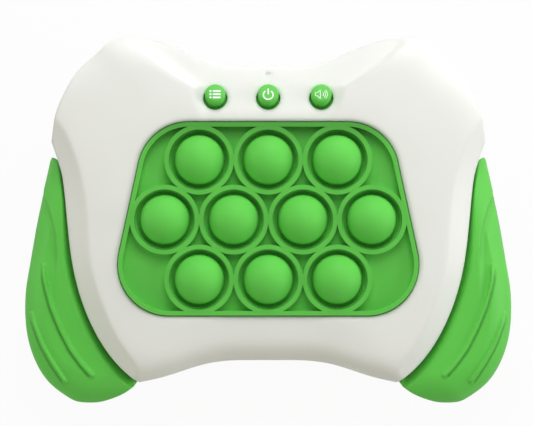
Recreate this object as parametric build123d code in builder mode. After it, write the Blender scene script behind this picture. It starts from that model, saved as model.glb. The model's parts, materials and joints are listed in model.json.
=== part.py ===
from build123d import *
import os
from math import cos, pi, radians, sin, sqrt, tan

# A hand-held bubble game lying on its back: +X to the right, +Y to the top of the face, +Z out of the face.
# The origin is in the middle of the flat back. All lengths are in millimetres.

# Whole case
side_border = 18.6
top_border = 28.7
bottom_border = 30.4
split_z = 18.0
crown_reach = 36.0
crown_fall = 4.4
wall = 2.2
front_edge_radius = 10.0
back_edge_radius = 8.0
edge_slack = 0.8

# Clearances
fit = 0.1
running_gap = 0.3
shell_gap = 0.3
overrun = 5.0

# Sloped facet along each side of the face
facet_low_depth = 7.0
facet_height = 6.0
facet_width = 6.5

# Valley between the two lobes, where the buttons sit
valley_offset = 1.9
valley_step = 0.6
valley_tilt = 20.0
valley_start_tilt = 8.0
valley_blend = 6.0
valley_half_width = 20.0
valley_flare_offset = 10.2
valley_flare_share = 1.35
valley_rise_length = 12.0

# Side grips
grip_stand_out = 10.0
grip_low_z = 2.5
grip_drop = 1.4
grip_edge_radius = 11.0
grip_groove_depth = 4.5
grip_cut_reach = 24.0
grip_groove_tip_width = 1.6
grip_groove_heel_width = 3.6
grip_fall = 2.0
grip_fall_reach = 20.0
grip_band_step = 1.1
grip_band_blend = 1.8
grip_wall = 2.6
grip_cavity_top_y = 3.0
rib_width = 1.2
rib_height = 0.55
grip_boss_radius = 3.4
grip_screw_z = 12.0
grip_screw_length = 9.0

# Bubble panel
panel_top_margin = 0.9
panel_side_margin = 1.1
panel_bottom_margin = 0.4
panel_lean_share = 0.217
panel_corner_radius = 17.0
panel_proud = 0.6
rim_width = 1.5
panel_depth = 2.7
panel_floor = 1.3
panel_seat_depth = 4.5
panel_flange = 1.6
panel_flange_width = 2.4
seat_width = 1.8
ear_radius = 2.9
ear_offset = 3.0
post_radius = 2.2

# Bubbles, in rows of three, four and three
bubble_pitch = 22.9
bubble_radius = 8.35
bubble_height = 7.8
bubble_wall = 1.4
bubble_hole_radius = 9.4
bubble_flange_radius = 10.2
bubble_flange = 1.4
bubble_stem_radius = 1.6
bubble_travel = 3.0
ring_inner_radius = 10.0
ring_width = 1.55
row_counts = (3, 4, 3)

# Main board and what stands on it
wiring_space = 5.2
board_thickness = 1.6
board_space = 8.3
board_inset = 2.5
switch_size = 5.0
switch_height = 1.4
lamp_size = 1.6
lamp_height = 1.0
lamp_offset = 4.9
chip_size = 9.0
chip_height = 1.4
driver_length = 8.0
driver_width = 4.0
capacitor_radius = 2.5
capacitor_height = 2.8
connector_height = 2.6
connector_length = 5.0
connector_width = 4.0

# Push buttons
button_offset = 8.0
button_pitch = 17.6
button_radius = 3.65
button_proud = 2.7
button_top_radius = 1.2
button_gap = 0.4
button_flange_radius = 4.3
button_flange = 1.0
button_travel = 1.0
button_stem_radius = 1.4
button_stem = 0.6
button_board_thickness = 1.2
button_board_half_width = 23.0
button_board_low = 2.3
button_board_high = 10.6
button_post_radius = 2.0
button_switch_height = 1.4
button_switch_size = 4.0
status_lamp_height = 0.8
pinhole_offset = 8.3
light_pipe_radius = 0.45

# Battery bay and its cover
cell_radius = 7.25
cell_length = 49.5
nub_radius = 2.75
nub_length = 1.0
cell_pitch = 15.0
cell_count = 3
cell_gap = 0.4
bay_middle_y = -2.0
bay_wall = 2.0
bay_roof = 1.6
contact_space = 2.0
contact_thickness = 0.4
contact_half_width = 5.0
contact_half_height = 4.5
contact_arch = 1.3
cover_thickness = 2.0
cover_recess = 0.3
cover_overlap = 2.7
cover_corner_radius = 3.0
ledge_thickness = 2.4
barrel_radius = 1.5
barrel_half_length = 20.0
pin_radius = 0.8
pin_length = 1.5
barrel_offset = 4.2
tab_radius = 4.6
tab_offset = 5.2
tab_thickness = 3.8
cover_screw_radius = 1.25
cover_screw_head_radius = 2.4
cover_screw_head = 1.3
cover_screw_length = 5.1
cover_screw_play = 0.6
cover_boss_cap = 3.0

# Speaker
speaker_radius = 11.5
speaker_side_gap = 0.65
speaker_y = -5.0
speaker_height = 5.0
gasket_thickness = 1.0
magnet_radius = 6.0
magnet_height = 2.5
clamp_thickness = 1.6
clamp_lug_radius = 2.6
sound_hole_radius = 0.9
sound_hole_pitch = 3.4
sound_hole_rings = 3

# Screws
case_screw_radius = 1.45
case_screw_head_radius = 2.7
case_screw_seat_z = 9.0
case_screw_length = 15.5
case_boss_radius = 3.4
well_wall = 1.3
small_screw_radius = 1.0
small_screw_head_radius = 1.8
small_screw_length = 5.5
head_height = 1.4

# Leads
lead_radius = 0.65
lead_spread = 10.0
lead_leg = 3.0
lead_steps = 5
speaker_lead_radius = 0.45
ribbon_width = 10.0
ribbon_thickness = 0.5
ribbon_drop_share = 0.8

# Counts and shares for rolled edges
edge_steps = 4
edge_last_angle = 76.0
crown_level_shares = (0.2, 0.4, 0.6, 0.8, 1.0)

# The panel follows the bubbles and their rings, and the case follows the panel
row_pitch = bubble_pitch * sqrt(3) / 2
ring_outer_radius = ring_inner_radius + ring_width
rows_reach = (len(row_counts) - 1) / 2 * row_pitch + ring_outer_radius
panel_length = 2 * rows_reach + panel_top_margin + panel_bottom_margin
case_half_length = (panel_length + top_border + bottom_border) / 2
panel_bottom_y = bottom_border - case_half_length
panel_top_y = panel_bottom_y + panel_length
bubble_middle_y = panel_bottom_y + panel_bottom_margin + rows_reach
panel_middle_half_width = (max(row_counts) - 1) / 2 * bubble_pitch + ring_outer_radius + panel_side_margin
panel_top_half_width = panel_middle_half_width - (panel_top_y - bubble_middle_y) * panel_lean_share
panel_bottom_half_width = panel_middle_half_width + (bubble_middle_y - panel_bottom_y) * panel_lean_share
body_half_width = panel_bottom_half_width + side_border
grip_half_width = body_half_width + grip_stand_out
valley_y = panel_top_y + valley_offset
valley_flare_y = valley_y + valley_flare_offset
button_y = panel_top_y + button_offset
pinhole_y = button_y + pinhole_offset

# Heights, from the cells up through the board to the face
cell_bottom_z = cover_recess + cover_thickness + cell_gap
cell_centre_z = cell_bottom_z + cell_radius
bay_top_z = cell_centre_z + cell_radius + cell_gap
roof_top_z = bay_top_z + bay_roof
board_low_z = roof_top_z + wiring_space
board_top_z = board_low_z + board_thickness
panel_floor_z = board_top_z + board_space
panel_seat_z = panel_floor_z - panel_seat_depth
panel_top_z = panel_floor_z + panel_depth
bubble_base_z = panel_floor_z - running_gap
crown_z = panel_top_z - panel_proud
valley_top_z = crown_z - valley_step
facet_low_z = crown_z - facet_low_depth
grip_high_z = facet_low_z - grip_drop
button_board_depth = (
    wall + 2 * running_gap + button_flange + button_stem + button_travel + button_switch_height
)

# Plan of the body, as shares of its half width and the case's half length
bottom_edge_shares = ((0.0, -0.758), (0.288, -0.778), (0.483, -0.849), (0.592, -0.878))
side_edge_shares = (
    (0.592, -0.878), (0.706, -0.763), (0.833, -0.516), (0.913, -0.154), (0.946, 0.218), (1.0, 0.432),
)
shoulder_edge_shares = (
    (1.0, 0.432), (0.975, 0.589), (0.931, 0.7145), (0.859, 0.846), (0.779, 0.930), (0.643, 1.0),
)
dip_edge_shares = ((0.643, 1.0), (0.461, 0.968), (0.270, 0.873), (0.0, 0.849))
bulge_side_shares = (
    (0.592, -0.878), (0.80, -0.735), (0.945, -0.52), (1.03, -0.22), (1.06, 0.10), (1.063, 0.40),
)
bulge_shoulder_shares = ((1.063, 0.40), (1.035, 0.60), (0.93, 0.785), (0.80, 0.915), (0.643, 1.0))
facet_guide_shares = (
    (0.455, -1.12), (0.648, -0.845), (0.757, -0.69), (0.833, -0.516), (0.899, -0.282),
    (0.923, -0.008), (0.946, 0.218), (1.0, 0.432), (1.06, 0.70), (1.12, 1.02),
)

# Plan of the right grip, as shares of the grips' half width and the case's half length
grip_tip_shares = ((0.852, 0.318), (0.886, 0.351), (0.897, 0.330), (0.926, 0.179), (0.922, 0.151))
grip_outer_shares = ((0.922, 0.151), (0.961, -0.091), (0.984, -0.269), (1.0, -0.479))
grip_heel_shares = ((1.0, -0.479), (0.955, -0.779), (0.898, -0.893), (0.822, -0.971), (0.735, -1.0))
grip_toe_shares = ((0.735, -1.0), (0.644, -0.974), (0.576, -0.930), (0.547, -0.903))
grip_back_shares = (
    (0.547, -0.903), (0.545, -0.80), (0.70, -0.45), (0.77, 0.0), (0.82, 0.29), (0.852, 0.318),
)
grip_envelope_shares = (
    (0.86, 0.70), (0.897, 0.330), (0.927, 0.151), (0.961, -0.091), (0.984, -0.269), (1.0, -0.479),
)
long_rib_shares = (
    (0.915, -0.242), (0.907, -0.331), (0.880, -0.463), (0.844, -0.583), (0.800, -0.696),
    (0.755, -0.779), (0.715, -0.839),
)
short_rib_shares = ((0.967, -0.505), (0.947, -0.583), (0.920, -0.672), (0.880, -0.768), (0.827, -0.877))
grip_band_shares = ((0.922, 0.151), (0.893, 0.083), (0.876, 0.013), (0.859, -0.078), (0.856, -0.192))
grip_guide_shares = (0.06, 0.76)
grip_screw_shares = (0.0, -0.38)

# Side view of the speaker leads, as shares of their reach along the case and of their rise
speaker_lead_shares = (
    (0.0, 0.0), (0.0, 0.225), (0.15, 0.435), (0.387, 0.509), (0.62, 0.5225), (0.85, 0.565),
    (1.0, 0.775), (1.0, 1.0),
)

# Screws that hold the two halves together, as shares of the body's half width and the case's half length
case_screw_shares = ((0.690, 0.747), (0.759, 0.03), (0.524, -0.690))

# Directions of those edges at their ends
level = (1, 0)
bottom_end = (1, -0.2)
side_start = (0.85, 0.53)
side_end = (0.33, 0.94)
shoulder_start = (-0.19, 0.98)
bulge_direction = (-0.05, 1)


def placed(shares, half_width, half_length):
    """Points of a table of shares, at real size."""
    return [(x * half_width, y * half_length) for x, y in shares]


def closed_profile(sides, half_width, half_length):
    """Left and right halves of a plan with the body's bottom and dip, and sides of its own."""
    with BuildSketch() as profile:
        with BuildLine():
            Spline(*placed(bottom_edge_shares, half_width, half_length), tangents=(level, bottom_end))
            for shares, start, end in sides:
                Spline(*placed(shares, half_width, half_length), tangents=(start, end))
            Spline(*placed(dip_edge_shares, half_width, half_length), tangents=((-1, 0), (-1, 0)))
            mirror(about=Plane.YZ)
        make_face()
    return profile.sketch


def body_profile(inset):
    """Plan of the white body, drawn in by an inset."""
    sides = (
        (side_edge_shares, side_start, side_end),
        (shoulder_edge_shares, shoulder_start, (-1, 0)),
    )
    return closed_profile(sides, body_half_width - inset, case_half_length - inset)


def bulged_profile(inset):
    """Plan that follows the body's lobes and bottom and stays clear of its sides."""
    sides = (
        (bulge_side_shares, bottom_end, bulge_direction),
        (bulge_shoulder_shares, bulge_direction, (-1, 0)),
    )
    return closed_profile(sides, body_half_width - inset, case_half_length - inset)


def crown_height(inset):
    """Height of the crowned face at some inset from the outline."""
    away = 1 - inset / crown_reach
    return crown_z - crown_fall * away**3


def edge_envelope(inset):
    """Crowned block with a rolled edge along the shoulders and the bottom."""
    centre_z = crown_height(front_edge_radius) - front_edge_radius
    radius = front_edge_radius - inset
    levels = [(split_z, inset - edge_slack), ((split_z + centre_z) / 2, inset - edge_slack / 2)]
    for step in range(edge_steps + 1):
        angle = radians(edge_last_angle * step / edge_steps)
        levels.append((centre_z + radius * sin(angle), front_edge_radius - radius * cos(angle)))
    for share in crown_level_shares:
        reach = front_edge_radius + share * (crown_reach - front_edge_radius)
        levels.append((crown_height(reach) - inset, reach))
    with BuildPart() as envelope:
        for height, reach in levels:
            with BuildSketch(Plane.XY.offset(height)):
                add(bulged_profile(reach))
        loft()
    return envelope.part


def guide_line(shares, half_width, half_length):
    """Smooth line through a table of shares."""
    return Edge.make_spline([Vector(*point) for point in placed(shares, half_width, half_length)])


def facet_section(shift, half_width, half_length):
    """Plan across the whole case with the facet's guide line, shifted outwards square to itself."""
    guide = guide_line(facet_guide_shares, half_width, half_length)
    steps = len(facet_guide_shares)
    points = []
    for step in range(steps):
        share = step / (steps - 1)
        along = guide.tangent_at(share)
        points.append(guide.position_at(share) + Vector(along.Y, -along.X) * shift)
    with BuildSketch() as section:
        with BuildLine():
            Spline(*points)
            Line(points[-1], (0, points[-1].Y))
            Line((0, points[0].Y), points[0])
            mirror(about=Plane.YZ)
        make_face()
    return section.sketch


def facet_envelope(inset):
    """Block whose sides lean inwards above the facet's lower edge."""
    half_width = body_half_width - inset
    half_length = case_half_length - inset
    slope = facet_width / facet_height
    low = facet_height / 4
    high = facet_height * 3 / 2
    with BuildPart() as envelope:
        with BuildSketch(Plane.XY.offset(facet_low_z - low)):
            add(facet_section(low * slope, half_width, half_length))
        with BuildSketch(Plane.XY.offset(facet_low_z + high)):
            add(facet_section(-high * slope, half_width, half_length))
        loft()
        with BuildSketch(Plane.XY.offset(facet_low_z - low)):
            Rectangle(4 * body_half_width, 4 * case_half_length)
        extrude(amount=-(facet_low_z - low))
    return envelope.part


def valley_z(x, y, inset):
    """Height of the valley's floor, with its sides rising past the flared half width."""
    beyond = max(0.0, y - valley_y)
    start_slope = tan(radians(valley_start_tilt))
    added_slope = tan(radians(valley_tilt)) - start_slope
    if beyond < valley_blend:
        steepened = beyond * beyond / (2 * valley_blend)
    else:
        steepened = beyond - valley_blend / 2
    drop = start_slope * (y - valley_y) + added_slope * steepened
    half_width = valley_half_width + valley_flare_share * max(0.0, y - valley_flare_y)
    side = max(0.0, abs(x) - half_width)
    return valley_top_z - inset - drop + side * side / valley_rise_length


def valley_cutter(inset):
    """Everything above the valley's floor."""
    rows = 14
    columns = 24
    first_y = valley_y - 2 * overrun
    last_y = case_half_length + 2 * overrun
    points = []
    for row in range(rows + 1):
        y = first_y + (last_y - first_y) * row / rows
        reach = valley_half_width + valley_flare_share * max(0.0, y - valley_flare_y) + 2 * overrun
        line = []
        for column in range(columns + 1):
            x = reach * (2 * column / columns - 1)
            line.append(Vector(x, y, valley_z(x, y, inset)))
        points.append(line)
    floor = Face.make_surface_from_array_of_points(points)
    return Solid.extrude(floor, Vector(0, 0, crown_z))


def front_form(inset):
    """Outer shape of the front half, drawn in by an inset."""
    with BuildPart() as form:
        with BuildSketch(Plane.XY.offset(split_z)):
            add(body_profile(inset))
        extrude(amount=crown_z - split_z)
        add(edge_envelope(inset), mode=Mode.INTERSECT)
        add(facet_envelope(inset), mode=Mode.INTERSECT)
        add(valley_cutter(inset), mode=Mode.SUBTRACT)
    return form.part


def rear_envelope(inset, slack):
    """Block with a rolled edge round the back, its walls let out by some slack."""
    radius = back_edge_radius - inset
    levels = []
    for step in range(edge_steps, -1, -1):
        angle = radians(90 * step / edge_steps)
        levels.append((back_edge_radius - radius * sin(angle), back_edge_radius - radius * cos(angle)))
    levels.append(((back_edge_radius + split_z) / 2, inset - slack / 2))
    levels.append((split_z, inset - slack))
    with BuildPart() as envelope:
        for height, reach in levels:
            with BuildSketch(Plane.XY.offset(height)):
                add(body_profile(reach))
        loft()
    return envelope.part


def rear_form():
    """Outer shape of the rear half."""
    with BuildPart() as form:
        with BuildSketch():
            add(body_profile(0))
        extrude(amount=split_z)
        add(rear_envelope(0, edge_slack), mode=Mode.INTERSECT)
    return form.part


def grip_profile(inset):
    """Plan of the right grip, its inner side hidden inside the body's outline."""
    half_width = grip_half_width - inset
    half_length = case_half_length - inset
    tip = placed(grip_tip_shares, half_width, half_length)
    back = placed(grip_back_shares, half_width, half_length)
    with BuildSketch() as profile:
        with BuildLine():
            Polyline(*tip)
            Spline(*placed(grip_outer_shares, half_width, half_length), tangents=((0.2, -1), (0, -1)))
            Spline(*placed(grip_heel_shares, half_width, half_length), tangents=((0, -1), (-1, 0)))
            Spline(*placed(grip_toe_shares, half_width, half_length), tangents=((-1, 0), (-0.85, 0.5)))
            Polyline(*back)
        make_face()
    return profile.sketch


def grip_plan(inset):
    """Plan across the whole case whose sides follow the outer edges of both grips."""
    half_width = grip_half_width - inset
    half_length = case_half_length - inset
    top = placed(grip_envelope_shares[:1], half_width, half_length)[0]
    low = placed(grip_heel_shares[-1:], half_width, half_length)[0]
    with BuildSketch() as plan:
        with BuildLine():
            Line((0, top[1]), top)
            Spline(*placed(grip_envelope_shares, half_width, half_length), tangents=((0.1, -1), (0, -1)))
            Spline(*placed(grip_heel_shares, half_width, half_length), tangents=((0, -1), (-1, 0)))
            Line(low, (0, low[1]))
            mirror(about=Plane.YZ)
        make_face()
    return plan.sketch


def grip_envelope(inset):
    """Block with rolled upper and lower edges along the outer sides of both grips."""
    radius = grip_edge_radius - inset
    low_z = grip_low_z + grip_edge_radius
    high_z = grip_high_z - grip_edge_radius
    levels = []
    for step in range(edge_steps + 1):
        angle = radians(90 * step / edge_steps)
        levels.append((high_z + radius * sin(angle), grip_edge_radius - radius * cos(angle)))
        levels.append((low_z - radius * sin(angle), grip_edge_radius - radius * cos(angle)))
    levels.append(((low_z + high_z) / 2, inset))
    with BuildPart() as envelope:
        for height, reach in sorted(levels):
            with BuildSketch(Plane.XY.offset(height)):
                add(grip_plan(reach))
        loft()
    return envelope.part


def eased(share):
    """Smooth rise from 0 to 1."""
    held = min(1.0, max(0.0, share))
    return held * held * (3 - 2 * held)


def between(places, y):
    """X of a chain of places at some height on the face, straight between them."""
    for (first_x, first_y), (last_x, last_y) in zip(places, places[1:]):
        if y >= last_y:
            break
    share = min(1.0, max(0.0, (first_y - y) / (first_y - last_y)))
    return first_x + (last_x - first_x) * share


def grip_sunk(x, y, away):
    """Depth of the grip's upper face below its crest: groove by the body, band, and outward fall."""
    heel = (grip_tip_y - y) / (grip_tip_y + case_half_length)
    groove = grip_groove_tip_width + (grip_groove_heel_width - grip_groove_tip_width) * heel
    sunk = grip_groove_depth * (1 - eased(away / groove))
    sunk += grip_fall * (max(0.0, away - groove) / grip_fall_reach) ** 2
    beyond = x - between(band_places, y)
    fade = eased((y - band_places[-1][1]) / grip_fall_reach + 1)
    notch = eased((band_places[0][1] - y) / grip_band_blend)
    return sunk + grip_band_step * eased(beyond / grip_band_blend) * fade * notch


def grip_cutter(depth):
    """Everything above the right grip's upper face, or above a face some depth below it."""
    rows = 40
    columns = 50
    guide = guide_line(facet_guide_shares, body_half_width, case_half_length)
    points = []
    for row in range(rows + 1):
        share = grip_guide_shares[0] + (grip_guide_shares[1] - grip_guide_shares[0]) * row / rows
        origin = guide.position_at(share)
        along = guide.tangent_at(share)
        line = []
        for column in range(columns + 1):
            away = (grip_cut_reach + grip_wall) * column / columns - grip_wall
            place = origin + Vector(along.Y, -along.X) * away
            z = grip_high_z - depth - grip_sunk(place.X, place.Y, max(0.0, away))
            line.append(Vector(place.X, place.Y, z))
        points.append(line)
    face = Face.make_surface_from_array_of_points(points)
    return Solid.extrude(face, Vector(0, 0, grip_high_z))


def panel_profile(growth):
    """Plan of the bubble panel, grown all round."""
    with BuildSketch() as profile:
        Polygon(
            (panel_top_half_width, panel_top_y),
            (-panel_top_half_width, panel_top_y),
            (-panel_bottom_half_width, panel_bottom_y),
            (panel_bottom_half_width, panel_bottom_y),
            align=None,
        )
        fillet(profile.vertices(), panel_corner_radius)
        if growth:
            offset(amount=growth)
    return profile.sketch


def panel_half_width(y):
    """Half width of the panel's outline at some height on the face, before its corners are rounded."""
    return panel_top_half_width + (panel_top_y - y) * panel_lean_share


def side_x(y):
    """Half width of the body's outline at some height on the face, along its side."""
    side = guide_line(side_edge_shares, body_half_width, case_half_length)
    samples = 400
    nearest = min(range(samples + 1), key=lambda step: abs(side.position_at(step / samples).Y - y))
    return side.position_at(nearest / samples).X


def both_sides(places):
    """Places on the right together with their mirror places on the left."""
    return [(side * x, y) for x, y in places for side in (1, -1)]


def button_plane(x, y, depth):
    """Plane square to a push button's axis, at some depth below the valley's floor."""
    normal = Vector(0, sin(radians(valley_tilt)), cos(radians(valley_tilt)))
    origin = Vector(x, y, valley_z(x, y, 0)) - normal * depth
    return Plane(origin=origin, x_dir=(1, 0, 0), z_dir=normal)


def screw(plane_list, radius, head_radius, length):
    """Pan-head screws with their heads on the given planes and their shanks along the normals."""
    with BuildPart() as screws:
        for plane in plane_list:
            with BuildSketch(plane):
                Circle(head_radius)
            extrude(amount=-head_height)
            with BuildSketch(plane):
                Circle(radius)
            extrude(amount=length)
            with BuildSketch(plane.offset(-head_height)):
                Rectangle(head_radius, head_radius / 4)
                Rectangle(head_radius / 4, head_radius)
            extrude(amount=head_height / 2, mode=Mode.SUBTRACT)
    return screws.part


def tube(route, radius, name):
    """Lead along straight runs joined by tangent arcs as large as the runs allow."""
    points = [Vector(*point) for point in route]
    runs = [points[i + 1] - points[i] for i in range(len(points) - 1)]
    radii = []
    for first, second in zip(runs, runs[1:]):
        turn = radians(first.get_angle(second))
        radii.append(0.45 * min(first.length, second.length) / tan(turn / 2))
    with BuildLine() as path:
        FilletPolyline(*points, radius=radii)
    with BuildPart() as lead:
        with BuildSketch(Plane(origin=points[0], z_dir=runs[0])):
            Circle(radius)
        sweep(path=path.wires()[0])
    length = path.wires()[0].length
    print(name, "length", round(length, 1), "radii", [round(r, 1) for r in radii])
    print(name, "volume", round(lead.part.volume, 2), "by its section", round(pi * radius**2 * length, 2))
    return lead.part


# Places shared by several pieces
bubble_places = []
for row, count in enumerate(row_counts):
    for column in range(count):
        bubble_x = (column - (count - 1) / 2) * bubble_pitch
        bubble_y = bubble_middle_y + ((len(row_counts) - 1) / 2 - row) * row_pitch
        bubble_places.append((bubble_x, bubble_y))
button_names = ("menu_button", "power_button", "volume_button")
button_xs = [(index - 1) * button_pitch for index in range(len(button_names))]
case_screw_places = both_sides(placed(case_screw_shares, body_half_width, case_half_length))
panel_screw_places = both_sides([
    (panel_top_half_width - panel_corner_radius + ear_offset, panel_top_y + ear_offset),
    (panel_half_width(-bubble_pitch / 2) + ear_offset, -bubble_pitch / 2),
    (bubble_pitch, panel_bottom_y - ear_offset),
])
post_places = both_sides([
    (panel_half_width(row_pitch) - 2 * post_radius, row_pitch + bubble_middle_y),
    (panel_half_width(-row_pitch) - 5 * post_radius, -row_pitch + bubble_middle_y),
])
bubble_flange_top = panel_floor_z - panel_floor - running_gap
bubble_stem_bottom = board_top_z + switch_height + running_gap + bubble_travel
bay_half_width = cell_pitch * (cell_count - 1) / 2 + cell_radius + cell_gap
bay_half_length = (cell_length + nub_length) / 2 + contact_space
bay_low_y = bay_middle_y - bay_half_length
bay_high_y = bay_middle_y + bay_half_length
cell_xs = [(index - (cell_count - 1) / 2) * cell_pitch for index in range(cell_count)]
cover_half_width = bay_half_width + cover_overlap
cover_high_y = bay_high_y + cover_overlap
cover_low_y = bay_low_y - barrel_offset / 3
hinge_y = bay_low_y - barrel_offset
hinge_z = cover_recess + barrel_radius
recess_low_y = hinge_y + sqrt((cover_low_y - hinge_y - running_gap) ** 2 - hinge_z**2)
tab_y = bay_high_y + tab_offset
recess_top_z = cover_recess + cover_thickness + fit
speaker_seat_z = wall + gasket_thickness
speaker_x = cover_half_width + bay_wall + speaker_radius + speaker_side_gap
speaker_clamp_y = speaker_radius + clamp_lug_radius
lug_places = [(speaker_x, speaker_y - speaker_clamp_y), (speaker_x, speaker_y + speaker_clamp_y)]
cover_screw_seat_z = cover_recess + 2 * cover_screw_head
cover_screw_tip_z = cover_screw_seat_z + cover_screw_length
cover_boss_top_z = cover_screw_tip_z + cover_boss_cap
grip_tip_y = grip_tip_shares[1][1] * case_half_length
band_places = placed(grip_band_shares, grip_half_width, case_half_length)
grip_screw_ys = [share * case_half_length for share in grip_screw_shares]
small_screw_hole = small_screw_radius + fit
connector_z = board_low_z - connector_height / 2
tail_z = roof_top_z + 2 * lead_radius

grip_screw_planes = []
for y in grip_screw_ys:
    for side in (1, -1):
        seat_x = side_x(y) - wall - small_screw_head_radius / 3
        grip_screw_planes.append(Plane(origin=(side * seat_x, y, grip_screw_z), z_dir=(side, 0, 0)))

outer_front = front_form(0)
inner_front = front_form(wall)
outer_rear = rear_form()
inner_rear = rear_envelope(wall, 0)

# Front shell: crowned face with the panel opening, the button holes and the pinhole
with BuildPart() as front_ribs:
    with BuildSketch(Plane.XY.offset(panel_seat_z)):
        add(panel_profile(shell_gap + seat_width))
        with Locations(*panel_screw_places):
            Circle(ear_radius)
    extrude(amount=crown_z - panel_seat_z)
    with BuildSketch(Plane.XY.offset(split_z)):
        with Locations(*case_screw_places):
            Circle(case_boss_radius)
    extrude(amount=crown_z - split_z)
    for side in (1, -1):
        with BuildSketch(button_plane(0, button_y, button_board_depth)):
            with Locations((side * button_pitch / 2, 0)):
                Circle(button_post_radius)
        extrude(amount=crown_z - panel_seat_z)
    add(outer_front, mode=Mode.INTERSECT)

with BuildPart() as front_shell:
    add(outer_front)
    add(inner_front, mode=Mode.SUBTRACT)
    add(front_ribs.part)
    with BuildSketch(Plane.XY.offset(panel_seat_z - overrun)):
        add(panel_profile(shell_gap))
    extrude(amount=crown_z, mode=Mode.SUBTRACT)
    with BuildSketch(Plane.XY.offset(split_z)):
        with Locations(*case_screw_places):
            Circle(case_screw_radius + fit)
    extrude(amount=case_screw_seat_z + case_screw_length + fit - split_z, mode=Mode.SUBTRACT)
    with BuildSketch(Plane.XY.offset(panel_seat_z)):
        with Locations(*panel_screw_places):
            Circle(small_screw_hole)
    extrude(amount=small_screw_length - panel_flange + fit, mode=Mode.SUBTRACT)
    for side in (1, -1):
        with BuildSketch(button_plane(side * button_pitch / 2, button_y, button_board_depth)):
            Circle(small_screw_hole)
        extrude(amount=small_screw_length - button_board_thickness + fit, mode=Mode.SUBTRACT)
    for x in button_xs:
        with BuildSketch(button_plane(x, button_y, overrun)):
            Circle(button_radius + button_gap)
        extrude(amount=2 * overrun, mode=Mode.SUBTRACT)
    with BuildSketch(button_plane(0, pinhole_y, 2 * overrun)):
        Circle(light_pipe_radius + fit)
    extrude(amount=3 * overrun, mode=Mode.SUBTRACT)
front_shell.part.label = "front_shell"
export_step(front_shell.part, "parts/front_shell.step")
print("front shell", front_shell.part.is_valid, len(front_shell.solids()), front_shell.part.volume)

# Rear shell: back half with the battery bay, the sound holes and the screw wells
with BuildPart() as rear_ribs:
    with BuildSketch():
        with Locations((0, (cover_low_y + cover_high_y) / 2)):
            Rectangle(2 * (cover_half_width + bay_wall), cover_high_y - cover_low_y + 2 * bay_wall)
        with Locations((0, hinge_y)):
            Rectangle(2 * (barrel_half_length + pin_length + bay_wall), 2 * (barrel_radius + bay_wall))
    extrude(amount=cover_recess + cover_thickness + ledge_thickness)
    with BuildSketch():
        with Locations((0, tab_y)):
            Circle(tab_radius + shell_gap + bay_wall)
    extrude(amount=cover_boss_top_z)
    with BuildSketch():
        with Locations(*case_screw_places):
            Circle(case_screw_head_radius + shell_gap + well_wall)
    extrude(amount=split_z)
    with BuildSketch():
        with Locations(*lug_places):
            Circle(clamp_lug_radius)
    extrude(amount=speaker_seat_z + speaker_height)
    for plane in grip_screw_planes:
        with BuildSketch(plane):
            Circle(grip_boss_radius)
        extrude(amount=wall)
    add(outer_rear, mode=Mode.INTERSECT)
    with BuildSketch():
        with Locations((0, bay_middle_y)):
            Rectangle(2 * (bay_half_width + bay_wall), 2 * (bay_half_length + bay_wall))
    extrude(amount=roof_top_z)
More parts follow.
